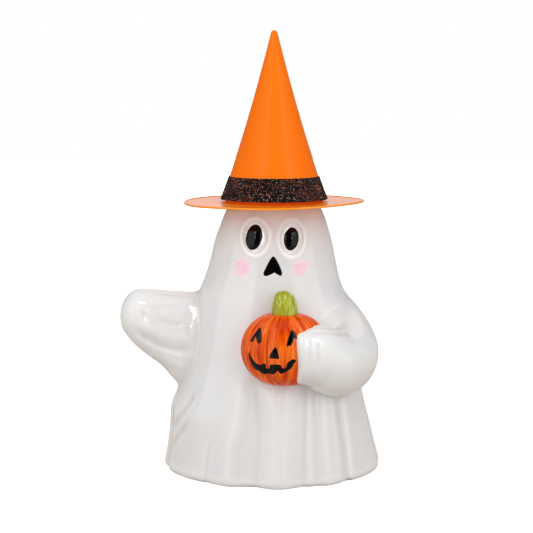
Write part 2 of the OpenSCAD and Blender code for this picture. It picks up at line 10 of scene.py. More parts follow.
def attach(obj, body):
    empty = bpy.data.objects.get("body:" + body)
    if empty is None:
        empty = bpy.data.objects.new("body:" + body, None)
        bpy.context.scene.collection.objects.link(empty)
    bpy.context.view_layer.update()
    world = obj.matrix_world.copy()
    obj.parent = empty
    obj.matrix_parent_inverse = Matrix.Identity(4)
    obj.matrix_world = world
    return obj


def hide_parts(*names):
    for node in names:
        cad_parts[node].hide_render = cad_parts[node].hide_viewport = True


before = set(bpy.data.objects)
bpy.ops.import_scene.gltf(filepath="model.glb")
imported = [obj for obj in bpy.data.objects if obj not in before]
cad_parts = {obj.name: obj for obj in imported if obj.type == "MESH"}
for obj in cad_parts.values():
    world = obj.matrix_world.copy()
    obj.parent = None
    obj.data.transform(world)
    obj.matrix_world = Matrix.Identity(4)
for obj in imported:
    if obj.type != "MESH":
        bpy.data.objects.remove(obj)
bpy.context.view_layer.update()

MM = 0.001

# The camera stands a metre in front of the ghost, level with the lower half of the hat and
# tipped down by 8 degrees, with a long lens. Its place and lens were fitted to the outlines
# of the hat and the hem.
camera_at = np.array([-6.84, -1040.0, 333.6])
tipped_down = math.radians(8.018)
picture_px = 533
focal_px = 1157.8
sensor_mm = 36
nearest_m = 0.01

bpy.ops.object.camera_add(location=Vector(camera_at * MM), rotation=(math.pi / 2 - tipped_down, 0, 0))
camera = bpy.context.object
camera.name = "camera"
camera.data.sensor_width = sensor_mm
camera.data.lens = sensor_mm * focal_px / picture_px
camera.data.clip_start = nearest_m
bpy.context.scene.camera = camera

ahead = np.array([0.0, math.cos(tipped_down), -math.sin(tipped_down)])
above = np.array([0.0, math.sin(tipped_down), math.cos(tipped_down)])


def seen(points):
    """Where points show in the picture, in pixels from its left and its top."""
    away = points - camera_at
    deep = away @ ahead
    return np.stack([picture_px / 2 + focal_px * away[:, 0] / deep,
                     picture_px / 2 - focal_px * (away @ above) / deep], axis=1)


# The casting: white earthenware slip, cast hollow in a plaster mould. The raised arm and the
# bent sleeve are luted on while leather-hard, so the clear glaze runs over the joins in soft
# fillets. The folds are modelled in the mould.

# where the brim rests on the head, how steep the head is there, and the crown above it
seat_z, seat_r = 246, 38.9
seat_angle = math.radians(42.6)
crown_rise = 22
dome_h = crown_rise / (1 - math.sin(seat_angle))
# how far the hem reaches each way, how far forward its middle lies, and its rounding
hem_left, hem_right, hem_front, hem_back, hem_shift = 103, 100, 67, 68, 6
hem_round = 5
wall = 4.5
fold_depth, fold_taper = 4.5, 0.6
# height share, then shares of the way out to the hem: left, right, front, back, and shift
gown_rows = [
    [0.00, 1.00, 1.00, 1.00, 1.00, 1.00], [0.06, 0.95, 0.935, 0.965, 0.95, 0.95],
    [0.12, 0.915, 0.87, 0.93, 0.905, 0.86], [0.18, 0.89, 0.81, 0.89, 0.85, 0.75],
    [0.24, 0.87, 0.745, 0.838, 0.787, 0.62], [0.30, 0.78, 0.69, 0.785, 0.72, 0.50],
    [0.37, 0.70, 0.605, 0.73, 0.66, 0.36], [0.43, 0.63, 0.605, 0.68, 0.61, 0.25],
    [0.49, 0.58, 0.68, 0.645, 0.575, 0.16], [0.55, 0.54, 0.68, 0.61, 0.54, 0.10],
    [0.60, 0.505, 0.605, 0.575, 0.51, 0.04], [0.67, 0.455, 0.42, 0.52, 0.47, 0.00],
    [0.72, 0.38, 0.337, 0.475, 0.44, 0.00], [0.78, 0.305, 0.283, 0.43, 0.41, 0.00],
    [0.86, 0.229, 0.217, 0.365, 0.36, 0.00], [0.93, 0.133, 0.136, 0.245, 0.245, 0.00],
    [0.97, 0.069, 0.071, 0.135, 0.135, 0.00], [1.00, 0.00, 0.00, 0.00, 0.00, 0.00]]
# the folds round the sides and the back: angle, half width, depth share, top, and the turns
# from the front between which they start
back_folds = [
    [-150, 12, 0.8, 0.62], [-125, 9, 0.5, 0.42], [-104, 9, 0.7, 0.34], [-78, 8, 0.6, 0.32],
    [84, 8, 0.6, 0.34], [108, 10, 0.7, 0.45], [132, 9, 0.8, 0.60], [155, 8, 0.6, 0.5],
    [176, 10, 1.0, 0.66]]
folds_from = (62, 76)
# how far along the round of the casting the crown, the sides and the hem end
crown_end, side_end, hem_end = 0.10, 0.90, 0.95


def through(rows, t):
    """A smooth curve through a table's rows, read at t in the first column."""
    rows = np.asarray(rows, float)
    last = len(rows) - 1
    t = np.clip(t, rows[0, 0], rows[-1, 0])
    k = np.clip(np.searchsorted(rows[:, 0], t, side="right") - 1, 0, last - 1)

    def slope(i):
        a, b = rows[np.maximum(i - 1, 0)], rows[np.minimum(i + 1, last)]
        return (b - a) / (b[:, :1] - a[:, :1])

    a, b = rows[k], rows[k + 1]
    h = b[:, :1] - a[:, :1]
    s = (t[:, None] - a[:, :1]) / h
    return (a * (1 + 2 * s) * (1 - s) ** 2 + b * s * s * (3 - 2 * s)
            + h * s * (1 - s) * ((1 - s) * slope(k) - s * slope(k + 1)))


def soft_step(x, low, high):
    s = np.clip((x - low) / (high - low), 0, 1)
    return s * s * (3 - 2 * s)


def bell(x, half):
    return np.where(np.abs(x) < half, (1 + np.cos(np.pi * np.clip(x / half, -1, 1))) / 2, 0)


def unit(rows):
    return rows / np.linalg.norm(rows, axis=1)[:, None]


def past(turn, angle):
    """How many degrees a turn lies past an angle, from -180 to 180."""
    return (np.degrees(turn) - angle + 180) % 360 - 180


def gown_plan(turn, u, inset=0.0):
    """The gown's outline in plan at a turn from the front and a height share."""
    row = through(gown_rows, u)
    side = seat_r + np.where(turn > 0, (hem_right - seat_r) * row[:, 2],
                             (hem_left - seat_r) * row[:, 1])
    shift = hem_shift * row[:, 5]
    front = seat_r + (hem_front - seat_r) * row[:, 3] + shift
    back = seat_r + (hem_back - seat_r) * row[:, 4] - shift
    reach = np.where(np.abs(turn) < np.pi / 2, front, back)
    plan = np.stack([side * np.sin(turn), shift - reach * np.cos(turn)], axis=1)
    fold = np.zeros(len(turn))
    for angle, half, depth, top in back_folds:
        dies = np.maximum(0, 1 - u / top) ** fold_taper
        fold = np.maximum(fold, depth * bell(past(turn, angle), half) * dies)
    fold *= fold_depth * soft_step(np.abs(np.degrees(turn)), *folds_from)
    return plan * (1 - (inset + fold) / np.linalg.norm(plan, axis=1))[:, None]


def gown_place(turn, way):
    """The casting's body, from the crown over the sides and the hem to the middle of its foot."""
    low = hem_round / seat_z
    u = np.clip(1 - (way - crown_end) / (side_end - crown_end) * (1 - low), low, 1)
    q = np.clip((way - side_end) / (hem_end - side_end), 0, 1) * np.pi / 2
    plan = gown_plan(turn, u, hem_round * (1 - np.cos(q)))
    rise = seat_z * u - hem_round * np.sin(q)
    e = np.clip(1 - way / crown_end, 0, 1)
    e = seat_angle + e * (np.pi / 2 - seat_angle)
    crown = way < crown_end
    plan[crown] *= (np.cos(e) / math.cos(seat_angle))[crown, None]
    rise = np.where(crown, seat_z + dome_h * (np.sin(e) - math.sin(seat_angle)), rise)
    plan *= np.clip((1 - way) / (1 - hem_end), 0, 1)[:, None]
    return np.column_stack([plan, rise])


def ball(name, segments, rings, place):
    """A ball whose points are moved to their places by their turn and their way down."""
    bpy.ops.mesh.primitive_uv_sphere_add(segments=segments, ring_count=rings, radius=1)
    piece = bpy.context.object
    piece.name = name
    p = points_of(piece) * MM
    way = np.arccos(np.clip(p[:, 2], -1, 1)) / np.pi
    move_points(piece, place(np.arctan2(p[:, 0], -p[:, 1]), way))
    return piece


def rows_of(items, name):
    """Three numbers for each point or face of a mesh."""
    flat = np.empty(3 * len(items))
    items.foreach_get(name, flat)
    return flat.reshape(-1, 3)


def points_of(piece):
    return rows_of(piece.data.vertices, "co") / MM


def move_points(piece, points):
    piece.data.vertices.foreach_set("co", (points * MM).ravel())
    piece.data.update()


def tree_of(piece):
    faces = [tuple(face.vertices) for face in piece.data.polygons]
    return BVHTree.FromPolygons([tuple(p) for p in points_of(piece)], faces)


def only(piece):
    """Makes one piece the selected and active one."""
    bpy.ops.object.select_all(action="DESELECT")
    piece.select_set(True)
    bpy.context.view_layer.objects.active = piece


def finish_with(piece, kind, **settings):
    """Adds a modifier and applies it."""
    only(piece)
    bpy.ops.object.modifier_add(type=kind)
    modifier = piece.modifiers[-1]
    for name, value in settings.items():
        setattr(modifier, name, value)
    bpy.ops.object.modifier_apply(modifier=modifier.name)


# the raised arm: share of its reach, then shares of its middle's height, its half height and
# its half thickness
arm_reach, arm_top, arm_h, arm_d = 140.6, 166.4, 50, 26
arm_rows = [
    [0.385, 0.691, 1.00, 1.00], [0.533, 0.704, 0.94, 1.00], [0.626, 0.732, 0.856, 0.96],
    [0.733, 0.787, 0.696, 0.885], [0.821, 0.817, 0.610, 0.81], [0.899, 0.842, 0.510, 0.69],
    [0.956, 0.852, 0.358, 0.50], [0.989, 0.849, 0.190, 0.27], [1.000, 0.847, 0.000, 0.00]]
# creases behind it: angle above the middle line, share of the depth
arm_creases = [[33, 0.6], [9, 0.8], [-22, 1.0]]
arm_crease_depth, arm_crease_half, arm_crease_fade = 2.6, 12, 0.18
# how far along a limb its closed root reaches
cap_end = 0.06


def arm_place(turn, way):
    """The raised arm, from the middle of its root to its tip."""
    t = np.clip((way - cap_end) / (1 - cap_end), 0, 1)
    share = arm_rows[0][0] + (1 - arm_rows[0][0]) * np.sin(t * np.pi / 2)
    row = through(arm_rows, share)
    cap = np.clip(way / cap_end, 0, 1)
    out = np.stack([arm_d * row[:, 3] * np.cos(turn), arm_h * row[:, 2] * np.sin(turn)], axis=1)
    off_back = np.degrees((np.pi - turn + np.pi) % (2 * np.pi) - np.pi)
    sink = np.zeros(len(turn))
    for angle, share_of in arm_creases:
        sink = np.maximum(sink, share_of * bell(off_back - angle, arm_crease_half))
    sink *= arm_crease_depth * np.clip((1 - share) / arm_crease_fade, 0, 1)
    size = np.maximum(np.linalg.norm(out, axis=1), 2 * arm_crease_depth)
    out *= ((1 - sink / size) * cap)[:, None]
    return np.column_stack([-arm_reach * share, -out[:, 0], arm_top * row[:, 1] + out[:, 1]])


# the bent sleeve's path over the gown, from the shoulder to the hand: angle from the front,
# height share, then shares of the sleeve's radius: stand, half thickness, half height
sleeve_r, hand_round, hand_out, hand_rake = 27, 5, 1.5, 3.6
sleeve_rows = [
    [106, 0.692, -0.67, 0.35, 0.42], [96, 0.615, -0.75, 0.64, 0.74], [76.5, 0.535, -0.58, 0.84, 0.92],
    [56, 0.467, 0.08, 0.94, 1.00], [37, 0.453, 0.41, 0.91, 1.00], [21.5, 0.480, 0.55, 0.85, 0.96],
    [11.5, 0.489, 0.62, 0.81, 0.90]]
sleeve_table = []
for k, (angle, share, stand, thick, high) in enumerate(sleeve_rows):
    plan = gown_plan(np.array([math.radians(angle)]), np.array([share]))[0]
    plan = plan * (1 + stand * sleeve_r / np.linalg.norm(plan))
    sleeve_table.append([k, plan[0], plan[1], share * seat_z, thick * sleeve_r, high * sleeve_r])
# where the rounded hand starts, how blunt it is, and how flat the sleeve lies behind
hand_start, hand_square, back_flat = 0.90, 0.25, 0.7
# how the sleeve swells and leans: how much, round which row of its path, over how many rows
hand_swell, elbow_sag, hand_lean = (0.098, 5.5, 1.9), (0.18, 3.3, 2.6), (3.0, 5.9, 1.9)
hand_taper, hand_tuck, tuck_from, stretch_from = 0.09, 0.9, 0.65, 0.7
# how far before and after a spot the path's direction is taken
look_ahead = 0.06


def swell(row, t):
    size, at, half = row
    return size * bell(t - at, half)


def sleeve_place(turn, way):
    """The bent sleeve, from the middle of its shoulder's end to its rounded hand."""
    last = len(sleeve_rows) - 1
    t = np.clip((way - cap_end) / (hand_start - cap_end), 0, 1) * last
    row = through(sleeve_table, t)
    ahead_row = through(sleeve_table, np.minimum(t + look_ahead, last))
    behind_row = through(sleeve_table, np.maximum(t - look_ahead, 0))
    along = unit(ahead_row[:, 1:4] - behind_row[:, 1:4])
    outward = unit(np.column_stack([row[:, 1], row[:, 2], np.zeros(len(t))]))
    across = unit(outward - along * np.sum(outward * along, axis=1)[:, None])
    up = np.cross(along, across)
    q = np.clip((way - hand_start) / (1 - hand_start), 0, 1) * np.pi / 2
    shrink = np.clip(way / cap_end, 0, 1) * np.cos(q).clip(0, 1) ** hand_square
    flat = np.where(np.cos(turn) < 0, back_flat, 1.0)
    rise, fall = np.sin(turn).clip(0), (-np.sin(turn)).clip(0)
    top = swell(hand_swell, t) - hand_taper * soft_step(t, last - 1, last)
    high = row[:, 5] * (1 + top * rise + swell(elbow_sag, t) * fall)
    lean = swell(hand_lean, t) * rise - hand_tuck * soft_step(way, tuck_from, hand_start)
    stretch = soft_step(way, stretch_from, hand_start) * (hand_out + hand_rake * np.sin(turn))
    return (row[:, 1:4] + along * (hand_round * np.sin(q) + stretch)[:, None]
            + across * ((row[:, 4] * flat * np.cos(turn) + lean) * shrink)[:, None]
            + up * (high * np.sin(turn) * shrink)[:, None])


def face_outward(piece, weld=0):
    """Turns every face outward, after joining the points that lie closer than weld."""
    only(piece)
    bpy.ops.object.mode_set(mode="EDIT")
    bpy.ops.mesh.select_all(action="SELECT")
    if weld:
        bpy.ops.mesh.remove_doubles(threshold=weld * MM)
    bpy.ops.mesh.normals_make_consistent(inside=False)
    bpy.ops.object.mode_set(mode="OBJECT")


gown = ball("gown_casting", 240, 170, gown_place)
arm = ball("arm_casting", 96, 90, arm_place)
sleeve = ball("sleeve_casting", 96, 110, sleeve_place)
for piece in (gown, arm, sleeve):
    face_outward(piece)
trees = [tree_of(piece) for piece in (gown, arm, sleeve)]
only(gown)
arm.select_set(True)
sleeve.select_set(True)
bpy.ops.object.join()
casting = gown
casting.name = "casting"
# the three are fused into one skin, with points this far apart
skin_step = 1.6
casting.data.remesh_voxel_size = skin_step * MM
casting.data.use_remesh_preserve_volume = True
only(casting)
bpy.ops.object.voxel_remesh()

# soft fillets where the limbs were luted on: for the arm and the sleeve, how far they reach
# and how many passes smooth them, a half of the way each, where the join's share is enough;
# then some passes go all over
points = points_of(casting)
gaps = np.array([[tree.find_nearest(tuple(p))[3] for tree in trees] for p in points])
all_over, half_way, least_share = 9, 0.5, 0.02
for limb, reach, passes in ((1, 5.0, 24), (2, 8.0, 80)):
    near = np.exp(-(np.maximum(gaps[:, 0], gaps[:, limb]) / reach) ** 2)
    group = casting.vertex_groups.new(name="join_%d" % limb)
    for i in np.nonzero(near > least_share)[0]:
        group.add([int(i)], float(near[i]), "REPLACE")
    finish_with(casting, "SMOOTH", factor=half_way, iterations=passes, vertex_group=group.name)
finish_with(casting, "SMOOTH", factor=half_way, iterations=all_over)

# the skirt's folds in front: lines read from the picture, each by its x at six levels and by
# how far the skirt stands out along it, in millimetres, and where the folds start at the top
skirt_levels = [370, 400, 425, 450, 475, 505]
skirt_lines = [
    ((222, 222, 218, 212, 210, 209), 0), ((239, 241, 237, 229, 227, 227), 2.4),
    ((247, 250, 247, 240, 238, 237), 0.2), ((254, 257.5, 259.5, 259, 256.5, 255), -0.8),
    ((271, 274, 276.5, 276.5, 274.5, 273), 3.9), ((282, 284, 283.5, 283, 282.6, 282), 3.7),
    ((302, 302.7, 303.6, 303, 302.5, 302), -0.5), ((304.5, 305, 305.5, 305, 304.6, 304.5), -0.7),
    ((309, 308.8, 308, 308.5, 309.3, 310), 0.5), ((313, 313, 314, 315, 316.5, 317), -0.2),
    ((321, 321.8, 323, 325.5, 328, 329), 2.1), ((331, 332, 335, 338, 340, 341), 0.9),
    ((338, 338.8, 341.5, 345.5, 347.5, 349), -2.0), ((343, 344, 347, 350, 352, 353), 0.2),
    ((352, 354, 357, 359, 361, 362), 0)]
skirt_top = (374, 404)
skirt_soft = 0.1


def skirt_height(spots):
    """How far the skirt's folds in front stand out, on one wavy section between their lines."""
    lines = np.stack([np.interp(spots[:, 1], skirt_levels, xs) for xs, _ in skirt_lines])
    heights = [h for _, h in skirt_lines]
    up = np.zeros(len(spots))
    for k in range(len(heights) - 1):
        t = (spots[:, 0] - lines[k]) / (lines[k + 1] - lines[k])
        here = (t >= 0) & (t < 1)
        eased = (1 - skirt_soft) * t + skirt_soft * (1 - np.cos(np.pi * t)) / 2
        up[here] = (heights[k] + (heights[k + 1] - heights[k]) * eased)[here]
    return up * soft_step(spots[:, 1], *skirt_top)


# other folds in front: a line in the picture's pixels, the widths before and after it, its
# height in millimetres, and how softly its two ends start
upright_folds = [
    ([(209.5, 440), (208.5, 450), (205, 476), (204, 500)], 3.5, 3.5, -0.6, (12, 0)),
    ([(315.5, 393), (316.2, 416)], 2.5, 2.5, 0.6, (5, 8)),
    ([(268.4, 222), (270.4, 232), (269, 243)], 3, 3, 0.9, (6, 6)),
    ([(137.5, 306), (138.5, 322)], 3, 3, 0.7, (7, 7)),
    ([(144, 306), (146, 322)], 4, 4, -0.5, (7, 7)),
    ([(186.5, 300), (188, 308), (186, 317), (187.5, 329), (186, 340)], 4, 3.5, -0.35, (8, 14)),
    ([(192, 300), (194, 306), (196, 316), (193.5, 328), (193, 338), (191, 350)], 4, 6, 0.5, (8, 16)),
    ([(308.5, 337), (308.8, 350), (308, 368)], 2.5, 2.5, -0.4, (6, 12)),
    ([(318, 338), (318.6, 350), (317.5, 366)], 4, 1.8, -0.6, (8, 12))]
level_folds = [
    ([(169, 428), (173.5, 425.4), (180, 415), (190, 402), (197, 392)], 8, 6, -1.7, (5, 8)),
    ([(168, 449), (171.8, 445.5), (178, 435), (186, 426), (190, 420)], 8, 6, -1.4, (5, 8)),
    ([(150, 292.6), (170, 294.4), (194, 297.4)], 2, 2.5, -0.5, (14, 6)),
    ([(133, 305), (142, 307.5), (154, 313)], 3, 3.5, 0.8, (6, 8)),
    ([(146, 309.5), (160, 307.3), (188, 308.5)], 6, 5, -0.35, (14, 10)),
    ([(150, 317), (160, 320.5), (168, 323.3), (177, 325), (187, 323)], 8, 3.5, -0.9, (16, 10)),
    ([(136, 322), (156, 330), (175, 337), (192, 338)], 8, 8, 0.7, (14, 10)),
    ([(130, 328), (143, 338), (159.6, 346.5), (175, 350.5), (197, 351)], 11, 5, -1.5, (14, 14)),
    ([(146, 350), (160, 357), (172, 362), (186, 367)], 6, 7, 0.6, (10, 8)),
    ([(316, 326), (327, 327.8), (337, 329.6), (346, 331)], 3, 2.5, -0.8, (8, 5)),
    ([(308, 333.6), (324, 332.4), (338, 333.6), (353, 334.8)], 2.4, 2.6, -1.0, (14, 6)),
    ([(318, 321), (335, 308.5), (350, 298)], 9, 5, 0.5, (6, 14))]


def fold_height(spots, line, before, after, height, ends, upright):
    """How far one fold lifts each spot of the picture, in millimetres."""
    line = np.array(line, float)
    a, b = (1, 0) if upright else (0, 1)
    along = spots[:, a]
    across = spots[:, b] - np.interp(along, line[:, a], line[:, b])
    t = np.clip(np.abs(across) / np.where(across < 0, before, after), 0, 1)
    hair = 0.01
    fade = soft_step(along, line[0, a] - hair, line[0, a] + ends[0])
    fade *= 1 - soft_step(along, line[-1, a] - ends[1], line[-1, a] + hair)
    return height * fade * (1 + np.cos(np.pi * t)) / 2


# the eye sockets: middle and half sizes in the picture's pixels, to the crest of the lip, then
# how far the floor and the lip stand out, by how far out they lie on the oval
sockets = {"left": ((255.3, 236.8), (14.3, 19.5)), "right": ((291.8, 238.0), (13.9, 19.7))}
socket_profile = [[0, -1.5], [0.60, -1.5], [0.78, -0.9], [0.90, 0.15], [0.98, 0.6], [1.06, 0.45],
                  [1.15, 0.12], [1.24, 0], [9, 0]]
socket_out, face_z, face_front = 1.3, 190, -0.3


def oval(spots, middle, half, lean=0.0):
    """How far out spots lie on an oval, 1 on its edge."""
    away = spots - np.array(middle)
    c, s = math.cos(lean), math.sin(lean)
    across = away[:, 0] * c + away[:, 1] * s
    along = -away[:, 0] * s + away[:, 1] * c
    return np.hypot(across / half[0], along / half[1])


# finer faces round the sockets
only(casting)
middles = rows_of(casting.data.polygons, "center") / MM
out = np.min([oval(seen(middles), *socket) for socket in sockets.values()], axis=0)
facing = rows_of(casting.data.polygons, "normal")[:, 1]
for items in (casting.data.vertices, casting.data.edges):
    items.foreach_set("select", np.zeros(len(items), bool))
casting.data.polygons.foreach_set(
    "select", (out < socket_out + 0.05) & (facing < face_front) & (middles[:, 2] > face_z))
bpy.ops.object.mode_set(mode="EDIT")
bpy.ops.mesh.select_mode(type="FACE")
bpy.ops.mesh.subdivide(number_cuts=1)
bpy.ops.object.mode_set(mode="OBJECT")
finish_with(casting, "TRIANGULATE", quad_method="BEAUTY", min_vertices=5)

# the skirt's folds lie on the gown alone, and fade where the surface leaves it for a limb; all
# folds in front fade where it turns away from the front
skirt_z, skirt_leave, turns_away = 120, (2.0, 4.5), (0.05, 0.35)
points = points_of(casting)
normals = rows_of(casting.data.vertex_normals, "vector")
spots = seen(points)
facing = soft_step(-normals[:, 1], *turns_away)
lift = np.zeros(len(points))
for i in np.nonzero((points[:, 2] < skirt_z) & (facing > 0))[0]:
    lift[i] = 1 - soft_step(trees[0].find_nearest(tuple(points[i]))[3], *skirt_leave)
lift *= skirt_height(spots)
for rows, upright in ((upright_folds, True), (level_folds, False)):
    for row in rows:
        lift += fold_height(spots, *row, upright)
points = points + normals * (lift * facing)[:, None]
for middle, half in sockets.values():
    r = oval(spots, middle, half)
    mine = (r < socket_out) & (normals[:, 1] < face_front) & (points[:, 2] > face_z)
    outward = normals[mine].mean(axis=0)
    outward /= np.linalg.norm(outward)
    points[mine] += outward * through(socket_profile, r[mine])[:, 1:2]
move_points(casting, points)
finish_with(casting, "SMOOTH", factor=half_way, iterations=1)

# the underside: a ring of bare foot, a shallow recess, the vent hole and the lining
foot_cut, foot_w, foot_recess, vent_r = 0.9, 9, 2, 9
foot_edge = [(1.2, 0.25), (2.6, 0)]
floor_top = foot_recess + wall
lining_low, lining_in, lining_levels, dome_levels = 2.5 * floor_top / seat_z, wall + 1.0, 16, 5
only(casting)
bpy.ops.object.mode_set(mode="EDIT")
bpy.ops.mesh.select_all(action="SELECT")
bpy.ops.mesh.bisect(plane_co=(0, 0, foot_cut * MM), plane_no=(0, 0, 1), clear_inner=True)
bpy.ops.object.mode_set(mode="OBJECT")
work = bmesh.new()
work.from_mesh(casting.data)
step = next(edge for edge in work.edges if edge.is_boundary)
loop = [step.verts[0]]
while (nxt := step.other_vert(loop[-1])) is not loop[0]:
    loop.append(nxt)
    step = next(edge for edge in nxt.link_edges if edge.is_boundary and edge is not step)
place = np.array([v.co for v in loop]) / MM
turn = np.arctan2(place[:, 0], -place[:, 1])
size = np.linalg.norm(place[:, :2], axis=1)[:, None]
ones = np.ones(len(loop))


def foot_ring(inset, z):
    return np.column_stack([place[:, :2] * (1 - inset / size), z * ones])


def round_ring(r, z):
    return np.column_stack([r * np.sin(turn), -r * np.cos(turn), z * ones])


rings = [foot_ring(inset, z) for inset, z in foot_edge]
rings += [foot_ring(foot_w, 0), foot_ring(foot_w + foot_recess, foot_recess),
          round_ring(vent_r + 1, foot_recess), round_ring(vent_r, foot_recess + 1),
          round_ring(vent_r, floor_top - 1), round_ring(vent_r + 1, floor_top),
          foot_ring(foot_w + 2, floor_top)]
for u in np.linspace(lining_low, 1, lining_levels):
    rings.append(np.column_stack([gown_plan(turn, u * ones, lining_in), u * seat_z * ones]))
for k in range(1, dome_levels):
    e = seat_angle + (np.pi / 2 - seat_angle) * k / dome_levels
    rings.append(round_ring((seat_r / math.cos(seat_angle) - wall) * math.cos(e),
                            seat_z + (dome_h - wall) * math.sin(e) - dome_h * math.sin(seat_angle)))
old = loop
for ring in rings:
    new = [work.verts.new(tuple(p * MM)) for p in ring]
    for i in range(len(loop)):
        j = (i + 1) % len(loop)
        work.faces.new((old[i], old[j], new[j], new[i]))
    old = new
pole = work.verts.new((0, 0, (seat_z + (dome_h - wall) - dome_h * math.sin(seat_angle)) * MM))
for i in range(len(loop)):
    work.faces.new((old[i], old[(i + 1) % len(loop)], pole))
bmesh.ops.recalc_face_normals(work, faces=work.faces)
work.to_mesh(casting.data)
work.free()


def shade(piece, angle):
    """Smooth faces, with the edges that are sharper than an angle kept."""
    only(piece)
    bpy.ops.object.shade_smooth_by_angle(angle=math.radians(angle))


shade(casting, 60)


def hollows(piece, passes):
    """How far each point lies below its neighbourhood, in millimetres."""
    points = points_of(piece)
    ends = np.empty(2 * len(piece.data.edges), int)
    piece.data.edges.foreach_get("vertices", ends)
    a, b = ends.reshape(-1, 2).T
    count = np.bincount(ends, minlength=len(points))[:, None]
    smooth = points
    for _ in range(passes):
        smooth = np.stack([np.bincount(a, s[b], len(points)) + np.bincount(b, s[a], len(points))
                           for s in smooth.T], axis=1) / count
    return np.sum((smooth - points) * rows_of(piece.data.vertex_normals, "vector"), axis=1)


def keep_value(piece, name, values):
    """Keeps one number for each point, for the material to read."""
    field = piece.data.attributes.new(name, "FLOAT", "POINT")
    field.data.foreach_set("value", np.asarray(values, float))


keep_value(casting, "hollow", hollows(casting, 12))

# a painted highlight on the lip of a socket, stronger low down: where on its oval, how wide,
# and the share that is left at the top
lip_at, lip_half, lip_top, face_y = 0.99, 0.19, 0.2, -10
points = points_of(casting)
spots = seen(points)
lip = np.zeros(len(points))
for middle, half in sockets.values():
    low_share = soft_step(spots[:, 1], middle[1] - half[1], middle[1] + half[1])
    lip = np.maximum(lip, bell(oval(spots, middle, half) - lip_at, lip_half)
                     * (lip_top + (1 - lip_top) * low_share))
lip[(points[:, 1] > face_y) | (points[:, 2] < face_z)] = 0
keep_value(casting, "lip", lip)


def linear(code):
    """An sRGB hex colour as linear light, with full alpha."""
    parts = [int(code[i:i + 2], 16) / 255 for i in (1, 3, 5)]
    return tuple(c / 12.92 if c <= 0.04045 else ((c + 0.055) / 1.055) ** 2.4 for c in parts) + (1,)


def finish_of(name):
    """A new material, its nodes and its shader."""
    material = bpy.data.materials.new(name)
    material.use_nodes = True
    return material, material.node_tree.nodes["Principled BSDF"]


def feed(material, node, inputs):
    """Gives inputs a value, another node's named output, or a node for its first output."""
    for name, value in inputs.items():
        if isinstance(value, bpy.types.Node):
            value = next(output for output in value.outputs if output.enabled)
        if isinstance(value, bpy.types.NodeSocket):
            material.node_tree.links.new(value, node.inputs[name])
        else:
            node.inputs[name].default_value = value


def add(material, kind, inputs=None, **settings):
    """Adds one node. A mix takes its share at input 0 and its colours at 6 and 7; a map range
    takes its value at 0, the range it reads at 1 and 2 and the range it gives at 3 and 4."""
    node = material.node_tree.nodes.new("ShaderNode" + kind)
    for name, value in settings.items():
        setattr(node, name, value)
    feed(material, node, inputs or {})
    return node


def wear(piece, material):
    piece.data.materials.clear()
    piece.data.materials.append(material)


# Clear gloss lead-free glaze over a white body. To the eye it is a clean, mirror-like white
# with very faint 45 mm clouds and a waviness of 9 mm from being dipped; painted shade greys it
# a little in the creases, and painted highlights make it paler on ridges and each socket's lip.
# Under the hem the bare foot is matt cream biscuit with a grit of 1 mm, drawn coarser than the real one.
glaze, shader = finish_of("clear_glaze_on_white_earthenware")
where = add(glaze, "TexCoord").outputs["Object"]
hollow = add(glaze, "Attribute", attribute_name="hollow").outputs["Fac"]
cloud = add(glaze, "TexNoise", {"Vector": where, "Scale": 22.0, "Detail": 3.0})
mottle = add(glaze, "Mix", {0: cloud, 6: linear("#e2e3e4"), 7: linear("#e4e5e6")}, data_type="RGBA")
# painted shade: the glaze is greyed in the creases
painted_crease_shade = add(glaze, "MapRange", {0: hollow, 1: 0.03, 2: 0.35, 3: 0.0, 4: 0.3})
crease_shaded = add(glaze, "Mix", {0: painted_crease_shade, 6: mottle, 7: linear("#cfcac5")}, data_type="RGBA")
# painted highlight: the glaze is paler on the ridges
thin = add(glaze, "MapRange", {0: hollow, 1: -0.03, 2: -0.3, 3: 0.0, 4: 0.6})
ridge_highlighted = add(glaze, "Mix", {0: thin, 6: crease_shaded, 7: linear("#eeeeec")}, data_type="RGBA")
# painted highlight on each socket's lip
lip_highlight = add(glaze, "Attribute", attribute_name="lip").outputs["Fac"]
lip_highlighted = add(glaze, "Mix", {0: lip_highlight, 6: ridge_highlighted, 7: linear("#f8f8f7")}, data_type="RGBA")
height = add(glaze, "SeparateXYZ", {0: where}).outputs["Z"]
bare = add(glaze, "MapRange", {0: height, 1: 0.0012, 2: 0.0004, 3: 0.0, 4: 1.0})
grit = add(glaze, "TexNoise", {"Vector": where, "Scale": 900.0, "Detail": 4.0})
biscuit = add(glaze, "Mix", {0: grit, 6: linear("#d8d0c4"), 7: linear("#c9bfb0")}, data_type="RGBA")
whole = add(glaze, "Mix", {0: bare, 6: lip_highlighted, 7: biscuit}, data_type="RGBA")
dull = add(glaze, "MapRange", {0: bare, 1: 0.0, 2: 1.0, 3: 0.03, 4: 0.8})
waves = add(glaze, "TexNoise", {"Vector": where, "Scale": 110.0, "Detail": 2.0})
wavy = add(glaze, "Bump", {"Strength": 0.14, "Distance": 0.0002, "Height": waves})
feed(glaze, shader, {"Base Color": whole, "Roughness": dull, "IOR": 1.5, "Normal": wavy})
wear(casting, glaze)
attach(casting, "ghost")
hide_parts("gown", "raised_arm", "pumpkin_arm")

# The pumpkin: a second small casting with fifteen ribs, luted to the gown and brushed with
# orange and red-orange underglaze before the clear glaze.
pumpkin_at = (9, -62.0, 124.3)
pumpkin_w, pumpkin_h, pumpkin_d = 76, 65, 54
# each groove: its angle from the front and its share of the depth
pumpkin_grooves = [(-150, 1.0), (-124, 1.0), (-99, 0.8), (-74, 0.7), (-49, 0.5), (-25, 1.0),
                   (-5, 0.22), (16, 0.35), (38, 0.6), (60, 1.0), (84, 0.9), (109, 1.0), (134, 1.0),
                   (160, 1.0), (185, 1.0)]
rib_depth, rib_round, pumpkin_round = 2.1, 0.7, 0.85
dimple_depth, dimple_half = 3.0, 0.22


